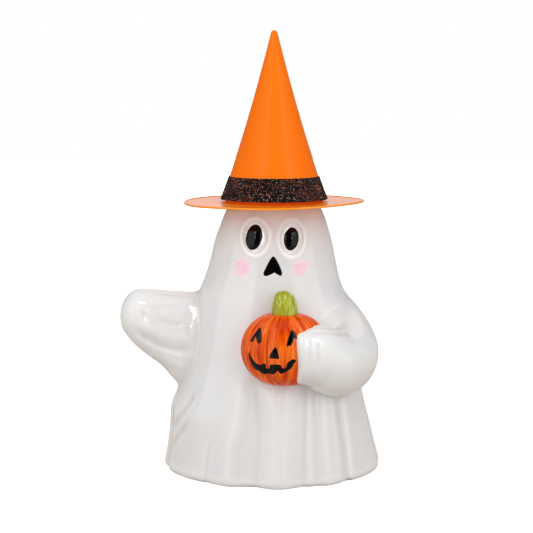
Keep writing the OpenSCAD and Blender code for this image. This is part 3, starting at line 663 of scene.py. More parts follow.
def pumpkin_place(turn, way):
    """Ribs between the grooves, from the dimple round the stem to the one below."""
    lat = (0.5 - way) * np.pi
    r = np.cos(lat).clip(0, 1) ** pumpkin_round
    off = np.stack([(np.degrees(turn) - angle) % 360 for angle, _ in pumpkin_grooves])
    before, after = off.min(axis=0), (360 - off).min(axis=0)
    depth = np.array([share for _, share in pumpkin_grooves])
    depth = np.where(before < after, depth[off.argmin(axis=0)], depth[(360 - off).argmin(axis=0)])
    share = 2 * np.minimum(before, after) / (before + after)
    sink = rib_depth * depth * (1 - (1 - (1 - share) ** 2) ** rib_round)
    out = np.stack([(pumpkin_w / 2 - sink) * np.sin(turn),
                    -(pumpkin_d / 2 - sink) * np.cos(turn)], axis=1)
    dimple = dimple_depth * np.exp(-(np.cos(lat) / dimple_half) ** 2) * np.sign(lat)
    return np.column_stack([out * r[:, None] + np.array(pumpkin_at[:2]),
                            pumpkin_at[2] + pumpkin_h / 2 * np.sin(lat) - dimple])


pumpkin = ball("painted_pumpkin", 224, 112, pumpkin_place)
only(pumpkin)
bpy.ops.object.shade_smooth()
keep_value(pumpkin, "hollow", hollows(pumpkin, 10))

# Orange underglaze under a gloss glaze. To the eye it is warm orange in brush strokes about
# 4 mm wide and 30 mm long, from the stem down, with redder passes 13 mm wide, pale where a
# stroke ran thin, and dark red in the grooves, the more the deeper they lie.
orange, shader = finish_of("brushed_orange_underglaze")
paint_map = add(orange, "UVMap")
strokes_at = add(orange, "Mapping", {"Vector": paint_map, "Scale": (46.0, 3.2, 1.0)})
strokes = add(orange, "TexNoise", {"Vector": strokes_at, "Scale": 1.0, "Detail": 4.0, "Roughness": 0.6,
                                   "Distortion": 0.4})
broad_at = add(orange, "Mapping", {"Vector": paint_map, "Scale": (16.0, 2.0, 1.0)})
broad = add(orange, "TexNoise", {"Vector": broad_at, "Scale": 1.0, "Detail": 2.0})
fine = add(orange, "ValToRGB", {0: strokes})
darkest, palest = fine.color_ramp.elements
darkest.position, darkest.color = 0.36, linear("#c23204")
palest.position, palest.color = 0.64, linear("#f57e2c")
fine.color_ramp.elements.new(0.5).color = linear("#ec5c08")
red = add(orange, "MapRange", {0: broad, 1: 0.45, 2: 0.7, 3: 0.0, 4: 0.55})
redder = add(orange, "Mix", {0: red, 6: fine, 7: linear("#d2430f")}, data_type="RGBA")
hollow = add(orange, "Attribute", attribute_name="hollow").outputs["Fac"]
deep = add(orange, "MapRange", {0: hollow, 1: 0.04, 2: 0.4, 3: 0.0, 4: 0.7})
darker = add(orange, "Mix", {0: deep, 6: redder, 7: linear("#a82408")}, data_type="RGBA")
brush = add(orange, "Bump", {"Strength": 0.3, "Distance": 0.00005, "Height": strokes})
feed(orange, shader, {"Base Color": darker, "Roughness": 0.06, "Specular IOR Level": 0.15, "Normal": brush})
wear(pumpkin, orange)
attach(pumpkin, "ghost")
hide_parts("pumpkin")

# The stem: a short fluted stub that leans to the left, pressed on the pumpkin by hand and
# brushed with two greens.
stem_foot = np.array([9.3, -62.0, 156.0])
stem_half, stem_h, stem_root, stem_tip = (11.3, 9.8), 19.0, 6, math.radians(36)
stem_lobes, stem_flute, stem_square, stem_lean, stem_side = 7, 0.6, 2.25, 0.08, 0.95
# the dent in the cut end, and the thumb's crescent beside it: depth, angle off the end, width
stem_dent, stem_crescent = (0.5, 0, 0.3), (0.6, 0.55, 0.2)


def stem_place(turn, way):
    """A round stub: its lobes run from a dimple, which is tipped to the front, to its foot."""
    polar = way * np.pi
    d = np.column_stack([np.sin(polar) * np.sin(turn), -np.sin(polar) * np.cos(turn), np.cos(polar)])
    c, k = math.cos(stem_tip), math.sin(stem_tip)
    d = np.column_stack([d[:, 0], d[:, 1] * c - d[:, 2] * k, d[:, 1] * k + d[:, 2] * c])
    box = d / (np.abs(d) ** stem_square).sum(axis=1)[:, None] ** (1 / stem_square)
    down = box[:, 2] < 0
    side = np.linalg.norm(box[:, :2], axis=1)[:, None]
    box[down, :2] *= (np.maximum(side, stem_side) / side)[down]
    dent = (stem_dent[0] * np.exp(-(polar / stem_dent[2]) ** 2)
            + swell(stem_crescent, polar) * np.cos(turn / 2 + 0.6) ** 4)
    flute = (1 - np.abs(np.sin(stem_lobes / 2 * turn + 0.5))) ** 1.3
    valley = stem_flute * flute * soft_step(polar, 0.15, 0.6)
    spot = box * np.where(down[:, None], (*stem_half, stem_root), (*stem_half, stem_h))
    spot -= d * (dent + valley)[:, None]
    spot[:, 0] -= stem_lean * spot[:, 2].clip(0)
    return spot + stem_foot


stem = ball("painted_stem", 144, 72, stem_place)
only(stem)
bpy.ops.object.shade_smooth()
keep_value(stem, "hollow", hollows(stem, 6))

# Two green underglazes under a gloss glaze. To the eye it is olive with pale yellow-green
# streaks about 3 mm wide and 14 mm long, from the foot up, and dark green in the flutes.
green, shader = finish_of("brushed_green_underglaze")
where = add(green, "TexCoord").outputs["Object"]
strokes_at = add(green, "Mapping", {"Vector": where, "Scale": (420.0, 300.0, 70.0)})
strokes = add(green, "TexNoise", {"Vector": strokes_at, "Scale": 1.0, "Detail": 4.0, "Distortion": 0.6})
fine = add(green, "ValToRGB", {0: strokes})
darkest, palest = fine.color_ramp.elements
darkest.position, darkest.color = 0.3, linear("#6d7d0c")
palest.position, palest.color = 0.68, linear("#c9cf62")
fine.color_ramp.elements.new(0.5).color = linear("#a4ab20")
hollow = add(green, "Attribute", attribute_name="hollow").outputs["Fac"]
deep = add(green, "MapRange", {0: hollow, 1: 0.02, 2: 0.2, 3: 0.0, 4: 0.8})
darker = add(green, "Mix", {0: deep, 6: fine, 7: linear("#4c5c08")}, data_type="RGBA")
brush = add(green, "Bump", {"Strength": 0.3, "Distance": 0.0001, "Height": strokes})
feed(green, shader, {"Base Color": darker, "Roughness": 0.06, "Specular IOR Level": 0.35, "Normal": brush})
wear(stem, green)
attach(stem, "ghost")
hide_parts("pumpkin_stem")

# The black paint: thick gloss enamel. The eyes are two glossy domes on the floors of the
# sockets, and the nose and the pumpkin's face stand up from the glaze with rounded edges.
casting_tree = tree_of(casting)
pumpkin_tree = tree_of(pumpkin)
# how far apart a skin's points lie, in pixels, and how often they are evened out
grid_px, even_passes = 0.4, 6


def grid(name, across, along):
    """A flat grid of points, to be moved to their places."""
    bpy.ops.mesh.primitive_grid_add(x_subdivisions=across, y_subdivisions=along, size=2)
    piece = bpy.context.object
    piece.name = name
    return piece


def laid(name, host, corners, height, along_mean=False, thick=0.6, low=-0.25):
    """A skin that lies on another piece, over a stretch of the picture, raised by a height."""
    x0, y0, x1, y1 = corners
    nx, ny = round((x1 - x0) / grid_px), round((y1 - y0) / grid_px)
    piece = grid(name, nx, ny)
    share = (points_of(piece)[:, :2] * MM + 1) / 2
    spots = np.stack([x0 + share[:, 0] * (x1 - x0), y1 - share[:, 1] * (y1 - y0)], axis=1)
    rays = ((spots[:, :1] - picture_px / 2) / focal_px * np.array([[1.0, 0, 0]])
            + (picture_px / 2 - spots[:, 1:]) / focal_px * above + ahead)
    found, outward, hits = np.zeros(rays.shape), np.zeros(rays.shape), np.zeros(len(rays), bool)
    for i, ray in enumerate(rays):
        spot, normal, _, _ = host.ray_cast(Vector(camera_at), Vector(ray))
        if spot is not None:
            found[i], outward[i], hits[i] = spot, normal, True
    outward *= -np.sign(np.sum(outward * rays, axis=1))[:, None]
    shape = (ny + 1, nx + 1, 3)
    for _ in range(even_passes):
        for field in (found, outward):
            f = field.reshape(shape)
            f[1:-1, 1:-1] = (f[:-2, 1:-1] + f[2:, 1:-1] + f[1:-1, :-2] + f[1:-1, 2:]) / 4
    if along_mean:
        outward[:] = outward[hits].mean(axis=0)
    outward /= np.linalg.norm(outward, axis=1)[:, None] + 1e-9
    lift, extra = height(spots)
    move_points(piece, found + outward * lift[:, None])
    keep_value(piece, "inside", extra)
    doomed = (lift < low) | ~hits
    only(piece)
    bpy.ops.object.mode_set(mode="EDIT")
    bpy.ops.mesh.select_all(action="DESELECT")
    bpy.ops.mesh.select_mode(type="VERT")
    bpy.ops.object.mode_set(mode="OBJECT")
    piece.data.vertices.foreach_set("select", doomed)
    bpy.ops.object.mode_set(mode="EDIT")
    bpy.ops.mesh.delete(type="VERT")
    bpy.ops.mesh.select_all(action="SELECT")
    bpy.ops.mesh.delete_loose()
    bpy.ops.object.mode_set(mode="OBJECT")
    if np.mean(rows_of(piece.data.polygons, "normal") @ camera_at) < 0:
        piece.data.flip_normals()
    finish_with(piece, "SOLIDIFY", thickness=thick * MM, offset=-1)
    shade(piece, 50)
    return piece


def depth_inside(spots, outline):
    """How far spots lie inside an outline whose corners are cut twice, in pixels."""
    outline = np.array(outline, float)
    near, far, hair = 0.82, 0.18, 1e-9
    for _ in range(2):
        nxt = np.roll(outline, -1, axis=0)
        outline = np.stack([near * outline + far * nxt, far * outline + near * nxt],
                           axis=1).reshape(-1, 2)
    gap = np.full(len(spots), np.inf)
    inside = np.zeros(len(spots), bool)
    for a, b in zip(outline, np.roll(outline, -1, axis=0)):
        edge = b - a
        t = np.clip(((spots - a) @ edge) / max(edge @ edge, hair), 0, 1)
        gap = np.minimum(gap, np.linalg.norm(spots - a - t[:, None] * edge, axis=1))
        crosses = (a[1] > spots[:, 1]) != (b[1] > spots[:, 1])
        x = a[0] + (spots[:, 1] - a[1]) * edge[0] / (edge[1] if abs(edge[1]) > hair else hair)
        inside ^= crosses & (spots[:, 0] < x)
    return np.where(inside, gap, -gap)


# the paint's thickness, how wide its edge is rounded, and the slopes outside an edge, down
# which the skin runs into the glaze
paint_t, paint_round, paint_slope = 0.45, 0.7, 0.8
eye_rise, eye_slope = 2.4, 6
# how large one of the picture's pixels is on the face and the pumpkin
pixel_mm = 0.86


def enamel_height(*outlines):
    def height(spots):
        inside = np.max([depth_inside(spots, outline) for outline in outlines], axis=0) * pixel_mm
        up = paint_t * np.sqrt(np.clip(inside / paint_round, 0, 1))
        return np.where(inside > 0, up, inside * paint_slope), inside
    return height


def eye_height(middle, half, lean):
    def height(spots):
        r = oval(spots, middle, half, lean)
        up = eye_rise * np.sqrt(np.clip(1 - r * r, 0, 1))
        return np.where(r < 1, up, (1 - r) * eye_slope), 1 - r
    return height


# Gloss black enamel, put on thick. To the eye it is a deep black that mirrors the lights,
# with a ripple of 2.4 mm from the brush.
enamel, shader = finish_of("gloss_black_enamel")
where = add(enamel, "TexCoord").outputs["Object"]
brushed = add(enamel, "TexNoise", {"Vector": where, "Scale": 420.0, "Detail": 3.0})
tone = add(enamel, "Mix", {0: brushed, 6: linear("#020202"), 7: linear("#080808")}, data_type="RGBA")
gloss = add(enamel, "MapRange", {0: brushed, 1: 0.3, 2: 0.7, 3: 0.03, 4: 0.07})
ripple = add(enamel, "Bump", {"Strength": 0.25, "Distance": 0.0001, "Height": brushed})
feed(enamel, shader, {"Base Color": tone, "Roughness": gloss, "Specular IOR Level": 0.18, "Normal": ripple})

# the eyes, each with its stretch of the picture, middle, half sizes and lean
painted = {}
for side, corners, middle, half, lean in (
        ("left", (244, 222, 264, 252), (254.0, 237.3), (7.9, 12.8), 11),
        ("right", (282, 225, 301, 253), (291.3, 238.9), (7.3, 11.5), 7)):
    painted[side + "_eye"] = laid(side + "_pupil", casting_tree, corners,
                                  eye_height(middle, half, math.radians(lean)),
                                  along_mean=True, thick=0.8, low=-0.5)

# the outlines of the painted marks, in the picture's pixels
nose_outline = [(272.5, 256.1), (269.3, 260.7), (266.4, 266.4), (263.6, 272.1), (263.4, 275), (265, 276.1),
                (267.9, 275.9), (271.4, 274.3), (274.3, 272.5), (277.1, 274.3), (280.4, 276.1), (281.9, 275),
                (282.1, 272.1), (280, 266.4), (277.5, 261.4), (275, 257.1)]
left_hook = [(249.4, 341.6), (254, 334.3), (259, 328.1), (260.7, 326.8), (261.6, 333.2), (261.8, 338.6),
             (260.7, 343.2), (258.2, 343.8), (256.6, 341), (256, 336.4), (254.8, 337.2), (252.6, 342.2)]
right_hook = [(286.4, 346.2), (287.2, 341), (289.4, 334.4), (290.8, 330.6), (293.4, 330.4), (295.2, 333),
              (297.2, 338.4), (297.2, 339.6), (294.2, 337.2), (292.6, 342.6), (290.6, 346.2), (289.2, 345.4),
              (288.2, 346.8)]
nose_mark = [(275.6, 346.4), (277.6, 350.2), (279.2, 358), (278.6, 359.4), (276, 358.6), (271.6, 358.6),
             (269.4, 358), (269.6, 355.6), (272.4, 350.2)]
mouth = [(248.4, 351), (249.8, 354.2), (252, 358.6), (256, 363.2), (259.6, 364.8), (264.8, 363.4),
         (265.8, 364.2), (266, 368.4), (269.2, 369), (270, 364.8), (272.4, 364.2), (281, 365),
         (281.8, 368), (284.4, 368.6), (286.4, 366.6), (287.2, 362.8), (289.4, 361.2), (293, 358.8),
         (296.6, 360.6), (294.4, 363), (291.6, 368.2), (287, 371.6), (281.6, 374), (280, 373.6),
         (277.8, 370.4), (274.2, 374.6), (268, 373.6), (263.8, 374.4), (261.6, 373), (259, 370.8),
         (255.6, 370.2), (251.2, 363.6), (248.6, 356.6)]
for node, name, host, corners, outlines in (
        ("nose", "painted_nose", casting_tree, (261, 253, 285, 279), [nose_outline]),
        ("pumpkin_eyes", "pumpkin_eye_marks", pumpkin_tree, (247, 324, 299, 349), [left_hook, right_hook]),
        ("pumpkin_nose", "pumpkin_nose_mark", pumpkin_tree, (267, 344, 282, 362), [nose_mark]),
        ("pumpkin_mouth", "pumpkin_mouth_mark", pumpkin_tree, (246, 349, 299, 377), [mouth])):
    painted[node] = laid(name, host, corners, enamel_height(*outlines))
for node, piece in painted.items():
    wear(piece, enamel)
    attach(piece, "ghost")
    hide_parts(node)

# The cheeks: fine pink glitter dabbed on in a clear binder, so each patch is thickest in the
# middle and breaks up into loose grains at its edge.
cheeks = {"left": ((242.4, 267.4), (9.2, 11.6)), "right": ((300.0, 268.2), (9.4, 10.0))}
# the ragged edge of a patch: waves of the picture's pixels, and how far they move the edge
wave_count, ragged_px = 14, 1.3
rng = np.random.default_rng(7)
waves_of = [(rng.uniform(0.25, 1.1, 2) * rng.choice([-1, 1], 2), rng.uniform(0, 6.28))
            for _ in range(wave_count)]
# the glitter's thickness at the edge, what it gains and over how many pixels, then how it
# sinks outside the edge
glitter_t, glitter_more, glitter_full = 0.10, 0.05, 6
glitter_sink, glitter_slope = 0.02, 0.2
cheek_x, cheek_y = 12, 14


def ragged(spots):
    return sum(np.sin(spots @ k + phase) for k, phase in waves_of) / wave_count ** 0.5


def cheek_height(middle, half):
    def height(spots):
        inside = (1 - oval(spots, middle, half)) * half[0] + ragged_px * ragged(spots)
        up = glitter_t + glitter_more * np.sqrt(np.clip(inside / glitter_full, 0, 1))
        return np.where(inside > 0, up, inside * glitter_slope - glitter_sink), inside
    return height


# Pink glitter in a clear binder. To the eye it is a soft pink, densest in the middle, broken
# by 2.4 mm patches where the white shows, with grains of 0.7 mm, drawn coarser than the real
# 0.2 mm ones, that are pale or deep pink.
pink, shader = finish_of("pink_glitter_in_clear_binder")
where = add(pink, "TexCoord").outputs["Object"]
grain = add(pink, "TexVoronoi", {"Vector": where, "Scale": 1500.0})
grain_tone = add(pink, "SeparateColor", {0: grain.outputs["Color"]})
inside = add(pink, "Attribute", attribute_name="inside").outputs["Fac"]
cover = add(pink, "MapRange", {0: inside, 1: 0.0, 2: 4.5, 3: 0.0, 4: 1.0})
cloud = add(pink, "TexNoise", {"Vector": where, "Scale": 420.0, "Detail": 3.0})
patchy = add(pink, "Math", {0: cover, 1: cloud}, operation="MULTIPLY")
dense = add(pink, "MapRange", {0: patchy, 1: 0.14, 2: 0.50, 3: 0.0, 4: 0.95})
flakes = add(pink, "Mix", {0: grain_tone, 6: linear("#f4b0cf"), 7: linear("#f8dcea")}, data_type="RGBA")
tone = add(pink, "Mix", {0: dense, 6: linear("#e6e2e2"), 7: flakes}, data_type="RGBA")
sparkle = add(pink, "Bump", {"Strength": 0.6, "Distance": 0.0001, "Height": grain.outputs["Distance"]})
feed(pink, shader, {"Base Color": tone, "Roughness": 0.35, "Normal": sparkle})
for side, (middle, half) in cheeks.items():
    x, y = middle
    cheek = laid(side + "_cheek_patch", casting_tree,
                 (x - cheek_x, y - cheek_y, x + cheek_x, y + cheek_y),
                 cheek_height(middle, half), thick=0.3, low=-0.05)
    wear(cheek, pink)
    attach(cheek, "ghost")
    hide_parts(side + "_cheek")

# The brim: a flat ring of 0.6 mm steel sheet with a wired edge, baked in satin orange enamel.
# It rests on the head by its hole.
sheet = 0.6
brim_top = seat_z + sheet
cone_r = seat_r + 8.5
brim_r = cone_r + 33.6
bead_r = 0.9
hole_r = seat_r + 0.3


def turned(name, segments, profile, warp):
    """A closed ring: a profile of radius and height, carried round the hat's axis."""
    profile = np.array(profile, float)
    count = len(profile)
    piece = grid(name, segments, count)
    turn = np.repeat(np.arange(segments) * 2 * np.pi / segments, count)
    rows = warp(turn, np.tile(profile, (segments, 1)))
    ring = np.column_stack([rows[:, 0] * np.cos(turn), rows[:, 0] * np.sin(turn), rows[:, 1]])
    across, along = np.meshgrid(np.arange(segments + 1) % segments, np.arange(count + 1) % count)
    move_points(piece, ring[(across * count + along).ravel()])
    face_outward(piece, weld=0.001)
    return piece


bead_gap, flat_rings, bead_rings = 0.4, 16, 22
bead_x = brim_r - bead_r
bead_z = seat_z + sheet / 2
meet = math.asin(sheet / 2 / bead_r)
flat_r = np.linspace(hole_r, bead_x - bead_r - bead_gap, flat_rings)
brim_profile = [(r, brim_top) for r in flat_r]
brim_profile += [(bead_x + bead_r * math.cos(a), bead_z + bead_r * math.sin(a))
                 for a in np.linspace(math.pi - meet, -math.pi + meet, bead_rings)]
brim_profile += [(r, seat_z) for r in flat_r[::-1]]
# how the sheet is bent: angle from the right, half width and rise of its front right and of
# its left, and how far the whole is twisted
brim_bends, brim_twist = [(-35, 78, 1.8), (-160, 45, -1.0)], 0.2


def brim_warp(turn, rows):
    """The sheet isn't quite flat: its front right is bent up by 1.8 mm, its left down by 1 mm."""
    up = sum(rise * bell(past(turn, angle), half) for angle, half, rise in brim_bends)
    up = up - brim_twist + brim_twist * np.sin(2 * turn + 0.8)
    rows[:, 1] += soft_step(rows[:, 0], cone_r + 2, brim_r) * up
    return rows


brim = turned("hat_brim_ring", 256, brim_profile, brim_warp)


def baked_orange(name, thin, thick, sheen):
    """Satin orange enamel, baked on steel. To the eye it is an even orange with a faint cloud
    of 33 mm where the coat is thicker, blurred lights, and an orange peel of 1.4 mm. A painted
    highlight makes it paler on the wired edge, and a painted shadow darkens the seam's edge."""
    satin, shader = finish_of(name)
    where = add(satin, "TexCoord").outputs["Object"]
    cloud = add(satin, "TexNoise", {"Vector": where, "Scale": 30.0, "Detail": 3.0})
    tone = add(satin, "Mix", {0: cloud, 6: linear(thin), 7: linear(thick)}, data_type="RGBA")
    # a painted highlight on the wired edge, and a painted shadow along the seam's edge
    for place, code in (("wired", "#ff9414"), ("seam", "#b84a06")):
        share = add(satin, "Attribute", attribute_name=place).outputs["Fac"]
        tone = add(satin, "Mix", {0: share, 6: tone, 7: linear(code)}, data_type="RGBA")
    peel = add(satin, "TexNoise", {"Vector": where, "Scale": 700.0, "Detail": 2.0})
    gloss = add(satin, "MapRange", {0: peel, 1: 0.3, 2: 0.7, 3: 0.20, 4: 0.27})
    ripple = add(satin, "Bump", {"Strength": 0.3, "Distance": 0.0001, "Height": peel})
    feed(satin, shader, {"Base Color": tone, "Roughness": gloss, "Specular IOR Level": sheen,
                         "Normal": ripple})
    return satin


# the painted highlight on the wired edge: where it starts and where it is full, in mm in from the rim
wired_highlight_from, wired_highlight_full = 2.4, 1.4
reach = np.linalg.norm(points_of(brim)[:, :2], axis=1)
keep_value(brim, "wired", soft_step(reach, brim_r - wired_highlight_from, brim_r - wired_highlight_full))
shade(brim, 40)
# the brim's copy of the enamel is painted paler than the cone's: painted light that brightens the brim where
# the band shades it
wear(brim, baked_orange("satin_orange_enamel_painted_paler_on_brim", "#ff860e", "#ff8c14", 0.28))
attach(brim, "hat")
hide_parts("hat_brim")

# The cone: the same sheet, cut as a sector and rolled, so its side bows in a little and a
# lapped seam runs down the back. Its foot is turned in and spot-welded to the brim.
cone_h, cone_bow, tip_r, flange_w = 151, 1.7, 3.0, 4
tip_z = cone_h - tip_r
cone_tilt = math.atan((cone_r - tip_r) / tip_z)
# where the outside, the flange's edge and the lip end on the way from the tip to the inside
outside_end, flange_end, lip_end = 0.52, 0.54, 0.56
tip_share, tip_blend = 0.08, 12
# the lapped seam, in degrees past the middle of the back: the lap's edge, the row of points
# that becomes the foot of its step, the gap it leaves, and how far the sheet rises to it
cone_steps = 192
cone_step = 360 / cone_steps
lap_edge, lap_step, lap_gap, lap_run = 3 * cone_step, 4 * cone_step, 0.15, 12
# the painted shadow along the seam's edge: half its width in degrees, and its share
seam_shadow_half, seam_shadow_share = 0.3, 0.8


def cone_at(h):
    return cone_r - h * math.tan(cone_tilt) - cone_bow * np.sin(np.pi * h / tip_z)


def cone_place(turn, way):
    """From the tip down the outside, round the flange and up the inside to the tip again."""
    outer = np.clip(way / outside_end, 0, 1)
    inner = np.clip((way - lip_end) / (1 - lip_end), 0, 1)
    h = tip_z - tip_z * np.clip((outer - tip_share) / (1 - tip_share), 0, 1)
    e = cone_tilt + np.clip(1 - outer / tip_share, 0, 1) * (np.pi / 2 - cone_tilt)
    blend = tip_r * soft_step(h, tip_z - tip_blend, tip_z)
    hi = sheet + (tip_z - tip_r - sheet) * inner
    shell = np.maximum(cone_at(hi) - sheet / math.cos(cone_tilt), 0.8) * (inner < 0.999)
    parts = [way >= lip_end, way >= flange_end, way >= outside_end, outer < tip_share]
    edge = cone_r - flange_w
    r = np.select(parts, [shell, edge, edge, tip_r * np.cos(e)],
                  cone_at(h) - blend * (1 - math.cos(cone_tilt)))
    z = np.select(parts, [hi, sheet, 0, tip_z + tip_r * np.sin(e)], h + blend * math.sin(cone_tilt))
    # the lap: one row of points is drawn up to its edge, and the sheet rises gently to it
    back = np.degrees(turn) % 360 - 180
    turn = np.where(np.abs(back - lap_step) < cone_step / 2, np.radians(180 + lap_edge + lap_gap), turn)
    lap = sheet * np.where(back < lap_edge + cone_step / 4, soft_step(back, -lap_run, lap_edge - 4), 0)
    r = np.where((way < 0.5) & (way > 0.06), r + lap * soft_step(r, 4, 9), r)
    return np.column_stack([r * np.sin(turn), -r * np.cos(turn), brim_top + z])


cone = ball("hat_cone_sheet", cone_steps, 100, cone_place)
# a painted shadow along the lap's edge, fading out near the tip
place = points_of(cone)
off_lap = np.degrees(np.arctan2(place[:, 0], -place[:, 1])) % 360 - 180 - lap_edge
reach = np.hypot(place[:, 0], place[:, 1])
keep_value(cone, "seam", np.where(np.abs(off_lap) < seam_shadow_half, seam_shadow_share, 0) * soft_step(reach, 3, 8))
shade(cone, 35)
wear(cone, baked_orange("satin_orange_enamel_on_rolled_steel", "#fc750c", "#fd7b12", 0.04))
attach(cone, "hat")
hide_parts("hat_cone")

# The band: a 22 mm black ribbon coated with coarse glitter and glued round the cone's foot.
# Its flakes are the faces of the mesh, which lie at all angles. Most are black, and some are
# copper or silver.

# its width, its thickness at the top and at the foot, where glue swells it, and the glue
band_w, band_t, band_foot, band_glue = 21, 0.6, 1.4, 0.05
band_low = 2.4
band_high = band_low + band_w * math.cos(cone_tilt)
band_rows, flake_in, flake_out, edge_off = 36, 0.3, 0.25, 0.3
band_profile = []
for h in np.linspace(band_low, band_high, band_rows):
    thick = band_foot + (band_t - band_foot) * (h - band_low) / (band_high - band_low)
    band_profile.append((cone_at(h) + thick + 2 * band_glue, brim_top + h))
band_profile += [(cone_at(h) + band_glue, brim_top + h) for h in (band_high, band_low)]


def band_warp(turn, rows):
    """Flakes lie at all angles, and the cut edges are a little uneven."""
    rng = np.random.default_rng(11)
    count = len(band_profile)
    k = np.tile(np.arange(count), len(rows) // count)
    face = k < band_rows
    rows[face, 0] += rng.uniform(-flake_in, flake_out, face.sum())
    edge = (k == 0) | (k == band_rows - 1)
    rows[edge, 1] += rng.uniform(-edge_off, edge_off, edge.sum())
    return rows


band = turned("glitter_band", 560, band_profile, band_warp)
middles = rows_of(band.data.polygons, "center") / MM
turn = np.arctan2(middles[:, 0], -middles[:, 1])
# copper flakes lie in loose streaks; the shares of copper and silver among all flakes
copper_share, silver_share, streak_count = 0.12, 0.035, 9
rng = np.random.default_rng(5)
streaks = sum(np.sin(a * turn + b * middles[:, 2] + c) for a, b, c in
              zip(rng.uniform(3, 11, streak_count), rng.uniform(-2.6, 2.6, streak_count),
                  rng.uniform(0, 6.28, streak_count))) / 3
pick = rng.uniform(0, 1, len(turn))
kind = np.where(pick < copper_share * (1 + streaks), 0.5, np.where(pick > 1 - silver_share, 0.9, 0.1))
kind = kind + rng.uniform(-0.08, 0.08, len(turn))
colour = band.data.attributes.new("flake", "FLOAT", "FACE")
colour.data.foreach_set("value", kind)

# Black glitter. To the eye it is a rough black that sparkles in points, with copper and
# silver points 1 to 2 mm apart and 7 mm patches that lie darker. The grit on each flake is
# 0.7 mm, drawn coarser than the real 0.2 mm.
flake, shader = finish_of("black_glitter_ribbon")
kind_of = add(flake, "Attribute", attribute_name="flake").outputs["Fac"]
kinds = add(flake, "ValToRGB", {0: kind_of})
black, silver = kinds.color_ramp.elements
black.position, black.color = 0.0, linear("#020202")
silver.position, silver.color = 1.0, linear("#c4c6cc")
for position, code in ((0.2, "#0c0a0b"), (0.4, "#6e3420"), (0.6, "#b0603c"), (0.8, "#6a6a72")):
    kinds.color_ramp.elements.new(position).color = linear(code)
where = add(flake, "TexCoord").outputs["Object"]
cloud = add(flake, "TexNoise", {"Vector": where, "Scale": 140.0, "Detail": 2.0})
shaded = add(flake, "MapRange", {0: cloud, 1: 0.4, 2: 0.7, 3: 0.0, 4: 0.6})
tone = add(flake, "Mix", {0: shaded, 6: kinds, 7: linear("#0c0a0c")}, data_type="RGBA")
grit = add(flake, "TexVoronoi", {"Vector": where, "Scale": 1400.0})
rough = add(flake, "Bump", {"Strength": 0.8, "Distance": 0.0003, "Height": grit.outputs["Distance"]})
feed(flake, shader, {"Base Color": tone, "Metallic": 0.3, "Roughness": 0.4, "Specular IOR Level": 0.12,
                     "Normal": rough})
only(band)
bpy.ops.object.shade_flat()
wear(band, flake)
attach(band, "hat")
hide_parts("hat_band")

# The studio: a glossy white acrylic sheet in a white room, which the camera sees as plain
# white. Softboxes stand left, right, above and behind, with a weak fill by the camera. Grey
# cards, strips and windows stand round the figure for the gloss to mirror.
bpy.ops.mesh.primitive_plane_add(size=12, location=(0, 0, 0))
floor = bpy.context.object
floor.name = "studio_floor"


def in_view(material):
    """1 for what is seen straight, in gloss or through glass, 0 for what soft light reaches."""
    path = add(material, "LightPath")
    shown = add(material, "Math", {0: path.outputs["Is Camera Ray"], 1: path.outputs["Is Glossy Ray"]},
                operation="MAXIMUM")
    return add(material, "Math", {0: shown, 1: path.outputs["Is Transmission Ray"]}, operation="MAXIMUM")


# White acrylic with a glossy face. To the eye it is the white of the picture's ground, and in
# the glaze a mirror of the cards. Its 17 mm clouds are too faint to see.
acrylic, shader = finish_of("glossy_white_acrylic_sheet")
where = add(acrylic, "TexCoord").outputs["Object"]
fibre = add(acrylic, "TexNoise", {"Vector": where, "Scale": 60.0, "Detail": 3.0})
tone = add(acrylic, "Mix", {0: fibre, 6: linear("#c0b2a8"), 7: linear("#b9aca2")}, data_type="RGBA")
straight = add(acrylic, "LightPath").outputs["Is Camera Ray"]
glow = add(acrylic, "Math", {0: in_view(acrylic), 1: 0.25}, operation="MULTIPLY")
glow = add(acrylic, "Math", {0: straight, 1: 0.65, 2: glow}, operation="MULTIPLY_ADD")
warm = add(acrylic, "Mix", {0: straight, 6: linear("#e8cfc0"), 7: linear("#ffffff")}, data_type="RGBA")
feed(acrylic, shader, {"Base Color": tone, "Roughness": 0.03, "Emission Color": warm,
                       "Emission Strength": glow})
wear(floor, acrylic)

world = bpy.data.worlds.new("studio")
bpy.context.scene.world = world
world.use_nodes = True
world.node_tree.nodes.clear()
level = add(world, "MapRange", {0: in_view(world), 3: 0.48, 4: 1.0})
sky = add(world, "Background", {"Color": (1, 1, 1, 1), "Strength": level})
add(world, "OutputWorld", {0: sky})


def on_ring(azimuth, reach, z):
    a = math.radians(azimuth)
    return (reach * math.sin(a), -reach * math.cos(a), z)


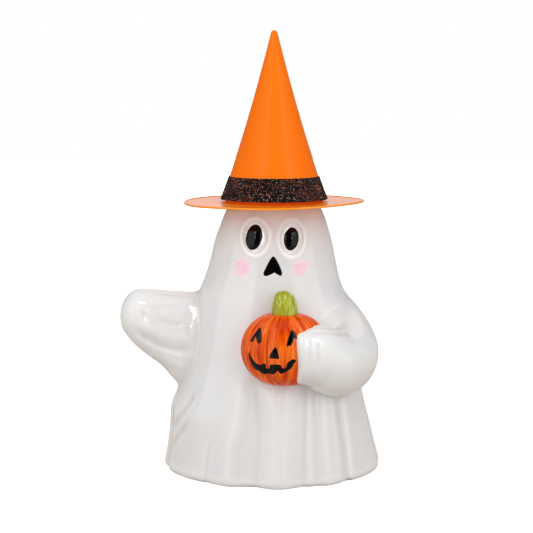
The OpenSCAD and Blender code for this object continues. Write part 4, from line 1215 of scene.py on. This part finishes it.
# the cards: first and last azimuth from the front, then how far off, how low and how high
# they stand, in metres, and their brightness
near, far = 1.1, 1.2
cards = {"front_flag": (-25, 28, far, -0.4, 1.4, 0.06), "left_panel": (-76, -25, far, -0.4, 1.4, 1.8),
         "right_panel": (28, 76, far, -0.4, 1.4, 1.8), "left_flag": (-105, -76, far, -0.4, 1.4, 0.6),
         "right_flag": (76, 105, far, -0.4, 1.4, 0.6)}
for k in range(6):
    cards["back_flag_%d" % k] = (105 + 25 * k, 130 + 25 * k, far, -0.05, 0.30, 0.45)
for k, first in enumerate((105, 135, 195, 225)):
    cards["back_drape_%d" % k] = (first, first + 30, far, 0.30, 1.0, 0.15)
cards["left_strip"] = (-30, -25.5, near, 0.46, 0.62, 12.0)
cards["right_strip"] = (28, 32.5, near, 0.46, 0.62, 12.0)
cards["left_window"] = (-38, -25, near, 0.72, 1.7, 7.0)
cards["right_window"] = (38, 47, near, 0.72, 1.7, 7.0)
cards["right_window_far"] = (47, 62, near, 0.72, 1.7, 3.0)
for name, (first, last, reach, low, high, bright) in cards.items():
    mesh = bpy.data.meshes.new(name)
    corners = [on_ring(azimuth, reach, z) for azimuth, z in
               ((first, low), (last, low), (last, high), (first, high))]
    mesh.from_pydata(corners, [], [(0, 1, 2, 3)])
    card = bpy.data.objects.new(name, mesh)
    bpy.context.scene.collection.objects.link(card)
    # matt cloth that only reflections see, as a plain patch of its own brightness
    cloth, shader = finish_of(name + "_cloth")
    feed(cloth, shader, {"Base Color": (0, 0, 0, 1), "Roughness": 1, "Specular IOR Level": 0,
                         "Emission Color": (1, 1, 1, 1), "Emission Strength": bright})
    wear(card, cloth)
    card.visible_camera = card.visible_diffuse = card.visible_shadow = False
    card.visible_transmission = False

# the lamps: where each stands, its width and height in metres, and its power
lamps = {"left_softbox": (on_ring(-50, 1.6, 0.62), (0.9, 1.4), 10.0),
         "right_softbox": (on_ring(50, 1.6, 0.62), (0.9, 1.4), 10.0),
         "top_softbox": ((0, -0.8, 1.35), (1.2, 1.2), 4.4),
         "front_fill": ((0, -1.6, 0.33), (0.7, 0.7), 1.0),
         "back_softbox": ((0, 1.7, 0.9), (1.2, 1.2), 9.0)}
aim = Vector((0, 0, 0.2))
for name, (place, size, power) in lamps.items():
    bpy.ops.object.light_add(type="AREA", location=place)
    lamp = bpy.context.object
    lamp.name = name
    lamp.data.shape = "RECTANGLE"
    lamp.data.size, lamp.data.size_y = size
    lamp.data.energy = power
    lamp.rotation_euler = (aim - lamp.location).to_track_quat("-Z", "Y").to_euler()
    lamp.visible_glossy = False

bpy.context.scene.view_settings.view_transform = "Standard"
